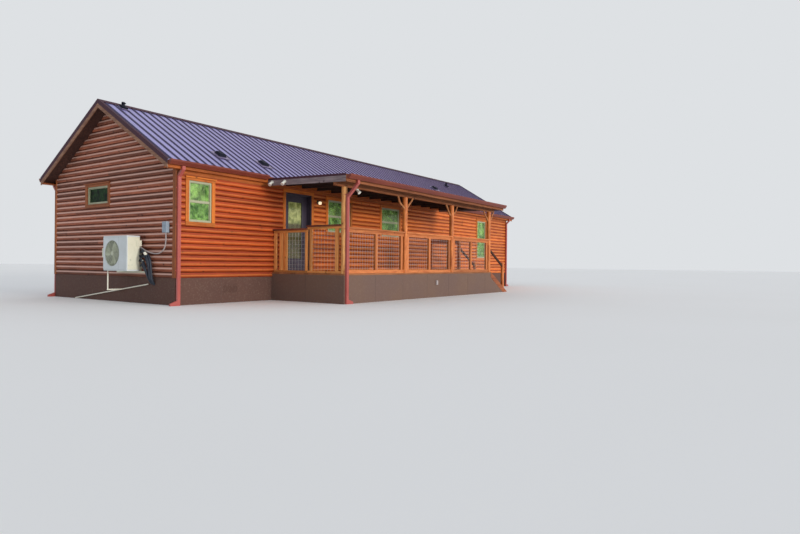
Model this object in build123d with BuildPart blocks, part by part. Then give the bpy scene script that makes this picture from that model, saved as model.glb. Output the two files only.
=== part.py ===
from build123d import *
from math import cos, radians, sin, tan
from typing import NamedTuple
import os

# Log cabin with a porch along its front. Millimetres, +Z up.
# The origin lies at ground level under the middle of the front wall's framing line.
# +X runs along the front wall, away from the near gable, and +Y runs into the house.

# House body
house_length = 17000.0
house_width = 5180.0
wall_thickness = 152.0
foundation_thickness = 190.0
foundation_proud = 12.0
siding_foot = 600.0
floor_top = 712.0

# Log siding
course_height = 127.0
siding_crest = 38.0
siding_groove = 14.0
corner_board_width = 95.0
corner_board_out = 42.0

# Roof
roof_angle = 31.0
roof_edge_height = 3105.0
eave_overhang = 190.0
rake_overhang = 340.0
roof_deck_thickness = 100.0
sheet_thickness = 4.0
sheet_lip = 15.0
rib_height = 19.0
rib_base = 44.0
rib_crest = 18.0
rib_spacing = 229.0
ridge_cap_width = 150.0
trim_thickness = 3.0
trim_face_width = 65.0
trim_top_width = 60.0
board_thickness = 25.0
eave_board_height = 154.0
rake_board_height = 150.0
soffit_thickness = 12.0
frieze_height = 90.0
frieze_thickness = 44.0

# What stands on the roof: distances from the nearer gable and, level, from the ridge
near_box_vents = [(1600.0, 2040.0), (2950.0, 2090.0)]
far_box_vents = [(3900.0, 1190.0)]
near_vent_pipes = [(180.0, 205.0)]
far_vent_pipes = [(1900.0, 590.0)]
vent_side = 225.0
vent_taper = 60.0
vent_height = 70.0
vent_pipe_radius = 38.0
vent_pipe_height = 110.0
vent_boot_side = 150.0
vent_boot_height = 40.0

# Gutters and downspouts
gutter_width = 125.0
gutter_depth = 105.0
gutter_floor = 75.0
gutter_wall = 3.0
gutter_front_rise = 20.0
gutter_back_rise = -2.0
gutter_back_flat = 30.0
gutter_shoulder = 35.0
gutter_end_inset = 15.0
gutter_end_gap = 60.0
pipe_width = 76.0
pipe_depth = 51.0
pipe_off_wall = 5.0
pipe_inset = 8.0
outlet_inset = 12.0
outlet_drop = 80.0
shoe_reach = 170.0
shoe_height = 60.0

# Windows and their casings
casing_width = 89.0
casing_out = 50.0
head_cap_height = 30.0
head_cap_out = 30.0
head_cap_ear = 20.0
frame_face = 42.0
frame_out = 22.0
frame_depth = 90.0
meeting_rail_height = 40.0
meeting_rail_out = 10.0
meeting_rail_depth = 33.0
glass_thickness = 6.0
pane_out = -8.0
window_sill_height = 1850.0
window_height = 914.0
wide_window_width = 1000.0
corner_window_width = 610.0
corner_window_distance = 610.0
beside_door_distance = 5420.0
middle_window_distance = 8000.0
back_window_distance = 2600.0
tall_window_width = 762.0
tall_window_height = 1524.0
tall_window_sill = 1240.0
tall_window_distance = 2445.0
gable_window_width = 940.0
gable_window_height = 430.0
gable_window_sill = 2360.0
gable_window_centre = 3110.0

# Entry door
door_width = 914.0
door_height = 2032.0
door_thickness = 45.0
door_near_x = 3285.0
door_gap = 8.0
jamb_thickness = 25.0
jamb_out = 38.0
stop_thickness = 12.0
stop_depth = 40.0
stop_gap = 7.0
stop_joint = 1.0
hinge_plate_inset = 1.0
threshold_height = 22.0
door_floor_gap = 8.0
door_glass_width = 510.0
door_glass_foot = 330.0
door_glass_head = 180.0
knob_height = 930.0
knob_inset = 70.0
knob_radius = 28.0
knob_reach = 62.0
knob_rose_radius = 33.0
knob_rose_depth = 8.0
knob_stem_radius = 13.0
hinge_height = 100.0
hinge_plate = 3.0
hinge_plate_depth = 32.0
hinge_radius = 6.0
hinge_knuckle_gap = 0.4
hinge_end_distance = 200.0

# Porch
porch_near_x = 2800.0
porch_length = 7770.0
porch_depth = 2420.0
skirt_thickness = 38.0
deck_thickness = 38.0
post_diameter = 142.0
post_top = 2750.0
post_count = 4
beam_width = 89.0
beam_height = 140.0
rafter_width = 38.0
rafter_height = 89.0
rafter_spacing = 610.0
porch_roof_board = 12.0
porch_slope = 0.024
porch_roof_side = 300.0
porch_roof_front = 300.0
porch_fascia_height = 170.0
brace_radius = 32.0
brace_reach = 330.0
brace_drop = 280.0

# Railings
rail_cap_top = 1820.0
near_rail_low_top = 1810.0
near_rail_high_top = 1875.0
near_rail_break = -1225.0
rail_cap_width = 140.0
lumber_thin = 38.0
lumber_wide = 89.0
upright_depth = 64.0
last_upright_gap = 65.0
near_low_uprights = [(-127.0, -38.0), (-335.0, -225.0), (-1206.0, -1130.0)]
near_high_uprights = [(-1290.0, -1230.0), (-2190.0, -2090.0)]

# Stair at the porch's far end
stair_width = 1300.0
step_count = 4
step_going = 330.0
tread_thickness = 38.0
stringer_thickness = 38.0
stringer_drop = 105.0
newel_radius = 60.0
newel_top = 1040.0
newel_distance = 1130.0
top_newel_top = 1870.0
handrail_height = 840.0

# Outdoor unit of the air conditioner on the near gable
unit_width = 960.0
unit_height = 790.0
unit_depth = 320.0
unit_foot = 740.0
unit_centre_y = 1600.0
unit_off_wall = 90.0
unit_corner_radius = 18.0
fan_diameter = 590.0
fan_recess = 25.0
fan_off_centre = 120.0
handle_size = (120.0, 30.0, 140.0)
handle_height = 1130.0
valve_size = (100.0, 25.0, 130.0)
valve_height = 1300.0
bracket_width = 40.0
bracket_thickness = 5.0
bracket_height = 420.0
bracket_inset = 90.0
bracket_rail_height = 45.0
bracket_rail_depth = 30.0
bracket_rail_overrun = 110.0
box_width = 150.0
box_height = 240.0
box_depth = 75.0
box_centre_y = 240.0
box_foot = 1590.0
conduit_radius = 12.0
line_radius = 34.0
drain_radius = 14.0
drain_elbow_radius = 18.0
drain_high = (950.0, 443.0)
drain_low = (4120.0, 14.0)
drain_unit_y = 2015.0
drain_unit_out = 370.0

# Lights
lamp_near_x = 4490.0
lamp_height = 2650.0
lamp_plate_radius = 55.0
lamp_plate_depth = 30.0
lamp_jar_radius = 48.0
lamp_jar_foot = 2580.0
lamp_jar_height = 115.0
flood_lines = [-330.0, -770.0]
flood_base_radius = 40.0
flood_base_depth = 25.0
flood_head_radius = 45.0
flood_neck_radius = 22.0
flood_head_length = 110.0
beam_flood_near_x = 3340.0

# Places worked out from the driving dimensions
near_end = -house_length / 2
far_end = house_length / 2
slope = tan(radians(roof_angle))
rise = sin(radians(roof_angle))
run = cos(radians(roof_angle))
ridge_y = house_width / 2
ridge_height = roof_edge_height + (ridge_y + eave_overhang) * slope
deck_drop = roof_deck_thickness / run
roof_near = near_end - rake_overhang
roof_far = far_end + rake_overhang
eave_board_face = sheet_lip - eave_overhang
roof_deck_edge = eave_board_face + board_thickness
eave_board_top = roof_edge_height + sheet_lip * slope
eave_board_foot = eave_board_top - eave_board_height
frieze_foot = eave_board_foot - frieze_height
siding_inset = corner_board_width - corner_board_out
deck_top = floor_top
deck_foot = deck_top - deck_thickness
porch_near = near_end + porch_near_x
porch_far = porch_near + porch_length
porch_front = -porch_depth
post_radius = post_diameter / 2
post_line = porch_front + post_radius
porch_roof_near = porch_near - porch_roof_side
porch_roof_far = porch_far + porch_roof_side
porch_fascia_face = porch_front - porch_roof_front
porch_rafter_end = porch_fascia_face + board_thickness


class Opening(NamedTuple):
    """A window opening, placed by the middle of its width and the height of its sill."""

    centre: float
    sill: float
    width: float
    height: float
    hung: bool = True


def wide_window(distance):
    """A wide window with its middle at a distance from the near gable."""
    return Opening(near_end + distance, window_sill_height, wide_window_width, window_height)


tall_window = Opening(far_end - tall_window_distance, tall_window_sill,
                      tall_window_width, tall_window_height)
front_windows = [
    Opening(near_end + corner_window_distance, window_sill_height,
            corner_window_width, window_height),
    wide_window(beside_door_distance),
    wide_window(middle_window_distance),
    tall_window,
]
back_windows = [wide_window(back_window_distance), wide_window(middle_window_distance), tall_window]
gable_windows = [Opening(gable_window_centre, gable_window_sill,
                         gable_window_width, gable_window_height, hung=False)]
windows_of_side = {
    "front": front_windows,
    "back": back_windows,
    "near": gable_windows,
    "far": gable_windows,
}

door_left = near_end + door_near_x
door_right = door_left + door_width
door_foot = floor_top + threshold_height + door_floor_gap
door_head = door_foot + door_height
frame_left = door_left - door_gap - jamb_thickness
frame_right = door_right + door_gap + jamb_thickness
frame_head = door_head + door_gap + jamb_thickness
door_casing_left = frame_left - casing_width
door_casing_right = frame_right + casing_width
door_casing_top = frame_head + casing_width


def block(x_low, x_high, y_low, y_high, z_low, z_high, mode=Mode.ADD):
    """A box between two corners, in the current part."""
    with Locations(((x_low + x_high) / 2, (y_low + y_high) / 2, (z_low + z_high) / 2)):
        Box(x_high - x_low, y_high - y_low, z_high - z_low, mode=mode)


def side_block(side, u_low, u_high, out_low, out_high, z_low, z_high, mode=Mode.ADD):
    """A box on one side of the house: u along the wall, out away from the framing line."""
    if side == "front":
        block(u_low, u_high, -out_high, -out_low, z_low, z_high, mode)
    elif side == "back":
        block(u_low, u_high, house_width + out_low, house_width + out_high, z_low, z_high, mode)
    elif side == "near":
        block(near_end - out_high, near_end - out_low, u_low, u_high, z_low, z_high, mode)
    else:
        block(far_end + out_low, far_end + out_high, u_low, u_high, z_low, z_high, mode)


def from_near(x):
    """A plane across the house at x, drawn with y to the right and z up."""
    return Plane.YZ.offset(x)


def from_front(y):
    """A plane along the house at y, drawn with x to the right and z up."""
    return Plane(origin=(0, y, 0), x_dir=(1, 0, 0), z_dir=(0, -1, 0))


def prism(plane, points, length, mode=Mode.ADD):
    """A closed outline of straight lines on a plane, extruded into the current part."""
    with BuildSketch(plane) as outline:
        with BuildLine():
            Polyline(*points, close=True)
        make_face()
    extrude(outline.sketch, amount=length, mode=mode)


def roof_top(y):
    """Height of the roof deck's upper face over a line at y."""
    return ridge_height - abs(y - ridge_y) * slope


def roof_underside(y):
    """Height of the roof deck's lower face over a line at y."""
    return roof_top(y) - deck_drop


def mirror_y(y):
    """The same distance behind the ridge as y is in front of it."""
    return house_width - y


def rafter_foot(y):
    """Height of the underside of the porch rafters over a line at y."""
    return post_top + beam_height + (y - post_line) * porch_slope


def cut_openings(side, out_low, out_high, margin):
    """Cuts the windows of one side out of the current part, each wider by a margin."""
    for window in windows_of_side[side]:
        side_block(
            side,
            window.centre - window.width / 2 - margin,
            window.centre + window.width / 2 + margin,
            out_low,
            out_high,
            window.sill - margin,
            window.sill + window.height + margin,
            Mode.SUBTRACT,
        )


# Foundation and floor
foundation_inner = foundation_thickness - foundation_proud
with BuildPart() as foundation_long_walls:
    for side in ("front", "back"):
        side_block(side, near_end - foundation_proud, far_end + foundation_proud,
                   -foundation_inner, foundation_proud, 0, siding_foot)

with BuildPart() as foundation_gable_walls:
    for side in ("near", "far"):
        side_block(side, foundation_inner, house_width - foundation_inner,
                   -foundation_inner, foundation_proud, 0, siding_foot)

with BuildPart() as floor_platform:
    block(near_end, far_end, 0, house_width, siding_foot, floor_top)


# Walls: their tops follow the slope of the roof deck above them
def long_wall(y_low, y_high, x_low, x_high, z_low):
    """A stretch of a long wall, from a height up to the roof deck."""
    outline = [
        (y_low, z_low),
        (y_high, z_low),
        (y_high, roof_underside(y_high)),
        (y_low, roof_underside(y_low)),
    ]
    prism(from_near(x_low), outline, x_high - x_low)


with BuildPart() as wall_front_near:
    long_wall(0, wall_thickness, near_end, frame_left, floor_top)
    cut_openings("front", -wall_thickness, 0, 0)

with BuildPart() as wall_front_far:
    long_wall(0, wall_thickness, frame_right, far_end, floor_top)
    cut_openings("front", -wall_thickness, 0, 0)

with BuildPart() as wall_front_over_door:
    long_wall(0, wall_thickness, frame_left, frame_right, frame_head)

with BuildPart() as wall_back:
    long_wall(house_width - wall_thickness, house_width, near_end, far_end, floor_top)
    cut_openings("back", -wall_thickness, 0, 0)


def gable_outline(y_low, z_low):
    """The outline of a gable from a line near its front edge up to the roof deck."""
    y_high = mirror_y(y_low)
    return [
        (y_low, z_low),
        (y_high, z_low),
        (y_high, roof_underside(y_high)),
        (ridge_y, roof_underside(ridge_y)),
        (y_low, roof_underside(y_low)),
    ]


with BuildPart() as wall_gables:
    for side, x_low in (("near", near_end), ("far", far_end - wall_thickness)):
        prism(from_near(x_low), gable_outline(wall_thickness, floor_top), wall_thickness)
        cut_openings(side, -wall_thickness, 0, 0)


# Log siding: half-round courses that bulge out between grooves
def siding_courses(plane, length, z_high, towards):
    """A sheet of log siding from its foot past z_high, drawn in section and extruded."""
    count = int((z_high - siding_foot) / course_height) + 1
    top = siding_foot + count * course_height
    groove = towards * siding_groove
    crest = towards * siding_crest
    with BuildSketch(plane) as section:
        with BuildLine():
            for number in range(count):
                foot = siding_foot + number * course_height
                ThreePointArc((groove, foot), (crest, foot + course_height / 2),
                              (groove, foot + course_height))
            Polyline((groove, top), (0, top), (0, siding_foot), (groove, siding_foot))
        make_face()
    extrude(section.sketch, amount=length)


def long_siding(y_line, towards, side):
    """The siding of a long wall between its corner boards, below the frieze board."""
    start = Plane(origin=(near_end + siding_inset, y_line, 0), x_dir=(0, 1, 0), z_dir=(1, 0, 0))
    siding_courses(start, house_length - 2 * siding_inset, frieze_foot, towards)
    side_block(side, near_end, far_end, -siding_crest, 2 * siding_crest,
               frieze_foot, frieze_foot + 2 * course_height, Mode.SUBTRACT)
    cut_openings(side, 0, 2 * siding_crest, casing_width)


with BuildPart() as log_siding_front:
    long_siding(0, -1, "front")
    side_block("front", door_casing_left, door_casing_right, 0, 2 * siding_crest,
               deck_top, door_casing_top, Mode.SUBTRACT)
    side_block("front", porch_near, porch_far, 0, 2 * siding_crest,
               deck_foot, deck_top, Mode.SUBTRACT)

with BuildPart() as log_siding_back:
    long_siding(house_width, 1, "back")

with BuildPart() as log_siding_gables:
    for side, x_line, towards in (("near", near_end, -1), ("far", far_end, 1)):
        start = Plane(origin=(x_line, siding_inset, 0), x_dir=(1, 0, 0), z_dir=(0, -1, 0))
        siding_courses(start, 2 * siding_inset - house_width, roof_underside(ridge_y), towards)
    prism(from_near(near_end - 2 * siding_crest), gable_outline(siding_inset, siding_foot),
          house_length + 4 * siding_crest, Mode.INTERSECT)
    for side in ("near", "far"):
        cut_openings(side, 0, 2 * siding_crest, casing_width)

# Corner boards: an angle of two boards at each corner, the gable's leg up to the roof deck
with BuildPart() as corner_boards:
    for long_side in ("front", "back"):
        for x_low in (near_end - corner_board_out, far_end - siding_inset):
            side_block(long_side, x_low, x_low + corner_board_width, 0, corner_board_out,
                       siding_foot, eave_board_foot)
    for gable_side in ("near", "far"):
        for y_low, y_high in ((0, siding_inset), (house_width - siding_inset, house_width)):
            side_block(gable_side, y_low, y_high, 0, corner_board_out,
                       siding_foot, roof_underside(0))

# Window frames with their meeting rails, the glass in them and the casings round them
with BuildPart() as window_frames:
    for side, windows in windows_of_side.items():
        for window in windows:
            low = window.centre - window.width / 2
            high = window.centre + window.width / 2
            head = window.sill + window.height
            side_block(side, low, high, frame_out - frame_depth, frame_out, window.sill, head)
            side_block(side, low + frame_face, high - frame_face, -frame_depth, frame_out,
                       window.sill + frame_face, head - frame_face, Mode.SUBTRACT)
            if window.hung:
                rail_foot = window.sill + (window.height - meeting_rail_height) / 2
                side_block(side, low + frame_face, high - frame_face,
                           meeting_rail_out - meeting_rail_depth, meeting_rail_out,
                           rail_foot, rail_foot + meeting_rail_height)

with BuildPart() as window_glass:
    for side, windows in windows_of_side.items():
        for window in windows:
            low = window.centre - window.width / 2 + frame_face
            high = window.centre + window.width / 2 - frame_face
            foot = window.sill + frame_face
            head = window.sill + window.height - frame_face
            side_block(side, low, high, pane_out - glass_thickness, pane_out, foot, head)
            if window.hung:
                rail_foot = window.sill + (window.height - meeting_rail_height) / 2
                side_block(side, low, high, pane_out - glass_thickness, pane_out,
                           rail_foot, rail_foot + meeting_rail_height, Mode.SUBTRACT)

with BuildPart() as casings:
    for side, windows in windows_of_side.items():
        for window in windows:
            low = window.centre - window.width / 2 - casing_width
            high = window.centre + window.width / 2 + casing_width
            head = window.sill + window.height + casing_width
            side_block(side, low, high, 0, casing_out, window.sill - casing_width, head)
            side_block(side, low - head_cap_ear, high + head_cap_ear,
                       casing_out, casing_out + head_cap_out, head - head_cap_height, head)
        cut_openings(side, 0, casing_out, 0)
    side_block("front", door_casing_left, door_casing_right, 0, casing_out,
               deck_top, door_casing_top)
    side_block("front", frame_left, frame_right, 0, casing_out,
               deck_top, frame_head, Mode.SUBTRACT)

# Entry door: jambs, stops, threshold, glazed leaf, knobs and hinges
leaf_inner = wall_thickness
leaf_outer = leaf_inner - door_thickness
stop_face = leaf_outer - stop_gap
opening_left = frame_left + jamb_thickness
opening_right = frame_right - jamb_thickness
opening_head = frame_head - jamb_thickness
with BuildPart() as door_jambs:
    for x_low in (frame_left, opening_right):
        block(x_low, x_low + jamb_thickness, -jamb_out, wall_thickness, floor_top, opening_head)

with BuildPart() as door_head_jamb:
    block(frame_left, frame_right, -jamb_out, wall_thickness, opening_head, frame_head)

with BuildPart() as door_threshold:
    block(opening_left, opening_right, -jamb_out, wall_thickness,
          floor_top, floor_top + threshold_height)

with BuildPart() as door_stops:
    for x_low in (opening_left, opening_right - stop_thickness):
        block(x_low, x_low + stop_thickness, stop_face - stop_depth, stop_face,
              floor_top + threshold_height, opening_head)
    block(opening_left + stop_thickness + stop_joint, opening_right - stop_thickness - stop_joint,
          stop_face - stop_depth, stop_face, opening_head - stop_thickness, opening_head)

door_middle = (door_left + door_right) / 2
pane_low = door_middle - door_glass_width / 2
pane_high = door_middle + door_glass_width / 2
pane_foot = door_foot + door_glass_foot
pane_head = door_head - door_glass_head
pane_y = (leaf_outer + leaf_inner) / 2
with BuildPart() as door_leaf:
    block(door_left, door_right, leaf_outer, leaf_inner, door_foot, door_head)
    block(pane_low, pane_high, leaf_outer, leaf_inner, pane_foot, pane_head, Mode.SUBTRACT)

with BuildPart() as door_glass:
    block(pane_low, pane_high, pane_y - glass_thickness / 2, pane_y + glass_thickness / 2,
          pane_foot, pane_head)

with BuildPart() as door_knobs:
    for face, out in ((leaf_outer, -1), (leaf_inner, 1)):
        centre = (door_right - knob_inset, face, door_foot + knob_height)
        with BuildSketch(Plane(origin=centre, x_dir=(1, 0, 0), z_dir=(0, 0, 1))):
            with BuildLine():
                Polyline(
                    (0, 0),
                    (knob_rose_radius, 0),
                    (knob_rose_radius, out * knob_rose_depth),
                    (knob_stem_radius, out * 1.5 * knob_rose_depth),
                    (knob_stem_radius, out * knob_reach / 2),
                    (knob_radius, out * knob_reach * 0.6),
                    (knob_radius, out * knob_reach * 0.8),
                    (knob_stem_radius, out * knob_reach),
                    (0, out * knob_reach),
                    close=True,
                )
            make_face()
        revolve(axis=Axis(centre, (0, 1, 0)))

# Hinges: plates in the gap beside the leaf, and knuckles on the axis behind it
hinge_x = door_left - door_gap / 2
hinge_y = wall_thickness + hinge_radius
knuckle_height = hinge_height / 3
hinge_span = door_height - 2 * hinge_end_distance - hinge_height
hinge_feet = [door_foot + hinge_end_distance + hinge_span * part / 2 for part in range(3)]


def knuckle(z_low, z_high, plate_low, plate_high):
    """A hinge knuckle with the tab that ties it to its plate."""
    with Locations((hinge_x, hinge_y, (z_low + z_high) / 2)):
        Cylinder(hinge_radius, z_high - z_low)
    block(plate_low, plate_high, wall_thickness - hinge_plate, hinge_y, z_low, z_high)


plate_depth = (leaf_inner - hinge_plate_depth, leaf_inner - hinge_plate_inset)

with BuildPart() as hinge_frame_halves:
    plate = (opening_left, opening_left + hinge_plate)
    for foot in hinge_feet:
        block(*plate, *plate_depth, foot, foot + hinge_height)
        knuckle(foot, foot + knuckle_height - hinge_knuckle_gap, *plate)
        knuckle(foot + 2 * knuckle_height + hinge_knuckle_gap, foot + hinge_height, *plate)

with BuildPart() as hinge_leaf_halves:
    plate = (door_left - hinge_plate, door_left)
    for foot in hinge_feet:
        block(*plate, *plate_depth, foot, foot + hinge_height)
        knuckle(foot + knuckle_height, foot + 2 * knuckle_height, *plate)

# Roof: a deck and a ribbed sheet on each slope, with folded trims at the rakes and ridge
deck_near = roof_near + board_thickness
deck_far = roof_far - board_thickness


def slope_strip(y_edge, y_top, drop_low, drop_high, x_low, x_high):
    """A strip along a slope between two lines, at two depths under the deck's top."""
    outline = [
        (y_edge, roof_top(y_edge) - drop_low),
        (y_top, roof_top(y_top) - drop_low),
        (y_top, roof_top(y_top) - drop_high),
        (y_edge, roof_top(y_edge) - drop_high),
    ]
    prism(from_near(x_low), outline, x_high - x_low)


with BuildPart() as roof_deck_front:
    slope_strip(roof_deck_edge, ridge_y, deck_drop, 0, deck_near, deck_far)

with BuildPart() as roof_deck_back:
    slope_strip(mirror_y(roof_deck_edge), ridge_y, deck_drop, 0, deck_near, deck_far)


def ribbed_sheet(plane, width, length):
    """A metal sheet with trapezoid ribs, drawn across its width and extruded along it."""
    count = int(width / rib_spacing)
    first = -(count - 1) / 2 * rib_spacing
    outline = [(-width / 2, 0), (-width / 2, sheet_thickness)]
    for number in range(count):
        middle = first + number * rib_spacing
        outline += [
            (middle - rib_base / 2, sheet_thickness),
            (middle - rib_crest / 2, sheet_thickness + rib_height),
            (middle + rib_crest / 2, sheet_thickness + rib_height),
            (middle + rib_base / 2, sheet_thickness),
        ]
    outline += [(width / 2, sheet_thickness), (width / 2, 0)]
    prism(plane, outline, length)


sheet_width = house_length + 2 * rake_overhang
sheet_length = (ridge_y + eave_overhang) / run
with BuildPart() as roof_sheet_front:
    edge = (0, -eave_overhang, roof_edge_height)
    ribbed_sheet(Plane(origin=edge, x_dir=(-1, 0, 0), z_dir=(0, run, rise)),
                 sheet_width, sheet_length)

with BuildPart() as roof_sheet_back:
    edge = (0, mirror_y(-eave_overhang), roof_edge_height)
    ribbed_sheet(Plane(origin=edge, x_dir=(1, 0, 0), z_dir=(0, -run, rise)),
                 sheet_width, sheet_length)

rib_top = -(sheet_thickness + rib_height) / run
trim_top = rib_top - trim_thickness / run
rake_drop = rake_board_height / run
with BuildPart() as roof_trims:
    for y_edge in (-eave_overhang, mirror_y(-eave_overhang)):
        for x_edge, out in ((roof_near, -1), (roof_far, 1)):
            x_outer = x_edge + out * trim_thickness
            x_inner = x_edge - out * trim_top_width
            slope_strip(y_edge, ridge_y, trim_face_width / run, trim_top,
                        min(x_edge, x_outer), max(x_edge, x_outer))
            slope_strip(y_edge, ridge_y, rib_top, trim_top,
                        min(x_edge, x_inner), max(x_edge, x_inner))
    for towards in (-1, 1):
        slope_strip(ridge_y + towards * ridge_cap_width * run, ridge_y, rib_top, trim_top,
                    roof_near, roof_far)

with BuildPart() as rake_boards:
    for x_low in (roof_near, deck_far):
        for y_edge in (eave_board_face, mirror_y(eave_board_face)):
            slope_strip(y_edge, ridge_y, rake_drop, 0, x_low, x_low + board_thickness)

# Eaves: a board on the edge of each deck with a soffit behind it, and a frieze on the wall
with BuildPart() as eave_boards:
    for side in ("front", "back"):
        side_block(side, deck_near, deck_far, -roof_deck_edge, -eave_board_face,
                   eave_board_foot, eave_board_top)
        side_block(side, deck_near, deck_far, 0, -roof_deck_edge,
                   eave_board_foot, eave_board_foot + soffit_thickness)

with BuildPart() as frieze_boards:
    for side in ("front", "back"):
        side_block(side, near_end + siding_inset, far_end - siding_inset, 0, frieze_thickness,
                   frieze_foot, eave_board_foot)
    side_block("front", door_casing_left, door_casing_right, 0, frieze_thickness,
               frieze_foot, door_casing_top, Mode.SUBTRACT)


# Gutters: open troughs with a sloping front, closed at their ends
def gutter(x_low, x_high, y_back, towards, top):
    """A gutter that hangs on a board at y_back; its front lip is the highest."""
    front = y_back + towards * gutter_width
    floor_edge = y_back + towards * gutter_floor
    wall = towards * gutter_wall
    back_top = top - gutter_front_rise + gutter_back_rise
    foot = top - gutter_depth
    shoulder = top - gutter_shoulder
    outer = [
        (y_back, back_top),
        (y_back, foot),
        (floor_edge, foot),
        (front, shoulder),
        (front, top),
        (y_back + towards * gutter_back_flat, back_top),
    ]
    inner = [
        (y_back + wall, top + gutter_wall),
        (y_back + wall, foot + gutter_wall),
        (floor_edge - wall / 2, foot + gutter_wall),
        (front - wall, shoulder + gutter_wall / 2),
        (front - wall, top + gutter_wall),
    ]
    prism(from_near(x_low), outer, x_high - x_low)
    prism(from_near(x_low + gutter_wall), inner, x_high - x_low - 2 * gutter_wall, Mode.SUBTRACT)


gutter_top = roof_edge_height + gutter_front_rise
gutter_foot = gutter_top - gutter_depth
gutter_near = roof_near + gutter_end_inset
gutter_far = roof_far - gutter_end_inset
porch_roof_rest = rafter_height + porch_roof_board
porch_fascia_top = rafter_foot(porch_rafter_end) + porch_roof_rest
porch_gutter_foot = porch_fascia_top - gutter_depth
with BuildPart() as gutters:
    gutter(gutter_near, porch_roof_near - gutter_end_gap, eave_board_face, -1, gutter_top)
    gutter(porch_roof_far + gutter_end_gap, gutter_far, eave_board_face, -1, gutter_top)
    gutter(gutter_near, gutter_far, mirror_y(eave_board_face), 1, gutter_top)
    gutter(porch_roof_near, porch_roof_far, porch_fascia_face, -1, porch_fascia_top)


# Downspouts: an outlet, an offset back to the wall, a straight run and a kicked-out shoe
def downspout(x_low, y_board, y_wall, top, out, reach):
    """A downspout from a gutter on y_board down y_wall; out is the way off the wall."""
    outlet_inner = y_board + out * outlet_inset
    outlet_outer = outlet_inner + out * pipe_depth
    run_inner = y_wall + out * pipe_off_wall
    run_outer = run_inner + out * pipe_depth
    offset_drop = abs(outlet_outer - run_outer)
    bend = top - outlet_drop
    mitre = pipe_depth * tan(radians(22.5))
    outline = [
        (outlet_outer, top),
        (outlet_outer, bend),
        (run_outer, bend - offset_drop),
        (run_outer, 0),
        (run_inner, 0),
        (run_inner, bend + mitre - offset_drop),
        (outlet_inner, bend + mitre),
        (outlet_inner, top),
    ]
    prism(from_near(x_low), outline, pipe_width)
    near_side, far_side = (x_low, x_low + pipe_width)
    base, back = (near_side, far_side) if reach < 0 else (far_side, near_side)
    shoe = [
        (back, shoe_height + pipe_depth),
        (base, shoe_height + pipe_depth),
        (base + reach, pipe_depth),
        (base + reach, 0),
        (back, 0),
    ]
    prism(from_front(max(run_inner, run_outer)), shoe, pipe_depth)


corner_pipe_near = near_end - pipe_inset
corner_pipe_far = far_end + pipe_inset - pipe_width
with BuildPart() as downspouts:
    for y_board, y_wall, out in (
        (eave_board_face, -corner_board_out, -1),
        (mirror_y(eave_board_face), house_width + corner_board_out, 1),
    ):
        downspout(corner_pipe_near, y_board, y_wall, gutter_foot, out, -shoe_reach)
        downspout(corner_pipe_far, y_board, y_wall, gutter_foot, out, shoe_reach)
    downspout(porch_near + post_radius - pipe_width / 2, porch_fascia_face, porch_front,
              porch_gutter_foot, -1, shoe_reach)


# Vents on the near slope: tapered boxes and pipes in square boots
def on_ribs(x, y, height):
    """A plane parallel to the front slope, at a height above the ribs of the sheet."""
    foot = Plane(origin=(x, y, roof_top(y)), x_dir=(1, 0, 0), z_dir=(0, -rise, run))
    return foot.offset(sheet_thickness + rib_height + height)


def on_roof(near_places, far_places):
    """Places on the near slope, from distances to the nearer gable and to the ridge."""
    near_ones = [(near_end + from_gable, ridge_y - down) for from_gable, down in near_places]
    far_ones = [(far_end - from_gable, ridge_y - down) for from_gable, down in far_places]
    return near_ones + far_ones


with BuildPart() as roof_vents:
    for vent_x, vent_y in on_roof(near_box_vents, far_box_vents):
        with BuildSketch(on_ribs(vent_x, vent_y, 0)):
            Rectangle(vent_side, vent_side)
        with BuildSketch(on_ribs(vent_x, vent_y, vent_height)):
            Rectangle(vent_side - vent_taper, vent_side - vent_taper)
        loft()
    for vent_x, vent_y in on_roof(near_vent_pipes, far_vent_pipes):
        with BuildSketch(on_ribs(vent_x, vent_y, 0)):
            Rectangle(vent_boot_side, vent_boot_side)
        extrude(amount=vent_boot_height)
        with BuildSketch(Plane.XY.offset(roof_top(vent_y) - rib_top + vent_boot_height / 2)):
            with Locations((vent_x, vent_y)):
                Circle(vent_pipe_radius)
        extrude(amount=vent_pipe_height)

# Porch: skirting, deck, posts, braces, beam, rafters and roof
with BuildPart() as porch_skirts:
    block(porch_near, porch_far, porch_front, -foundation_proud, 0, deck_foot)
    block(porch_near + skirt_thickness, porch_far - skirt_thickness,
          porch_front + skirt_thickness, 0, 0, deck_foot, Mode.SUBTRACT)
    block(porch_near, porch_far, -siding_crest, 0, siding_foot, deck_foot, Mode.SUBTRACT)

with BuildPart() as porch_deck:
    block(porch_near, porch_far, porch_front, 0, deck_foot, deck_top)

post_spacing = (porch_length - post_diameter) / (post_count - 1)
post_lines = [porch_near + post_radius + number * post_spacing for number in range(post_count)]


def posts(mode=Mode.ADD):
    """The log posts of the porch, from the deck up to the beam."""
    with Locations(*[(x, post_line, (deck_top + post_top) / 2) for x in post_lines]):
        Cylinder(post_radius, post_top - deck_top, mode=mode)


with BuildPart() as porch_posts:
    posts()

beam_near = porch_roof_near + board_thickness
beam_far = porch_roof_far - board_thickness


def beam(mode=Mode.ADD):
    """The beam along the tops of the posts."""
    block(beam_near, beam_far, post_line - beam_width / 2, post_line + beam_width / 2,
          post_top, post_top + beam_height, mode)


with BuildPart() as porch_beam:
    beam()

with BuildPart() as post_braces:
    for post_x in post_lines[1:]:
        for lean in (-1, 1):
            foot = (post_x, post_line, post_top - brace_drop)
            with BuildSketch(Plane(origin=foot, z_dir=(lean * brace_reach, 0, brace_drop))):
                Circle(brace_radius)
            extrude(amount=2 * brace_reach)
    block(porch_near, porch_roof_far, porch_front, 0, post_top, 2 * post_top, Mode.SUBTRACT)
    posts(Mode.SUBTRACT)


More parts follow.
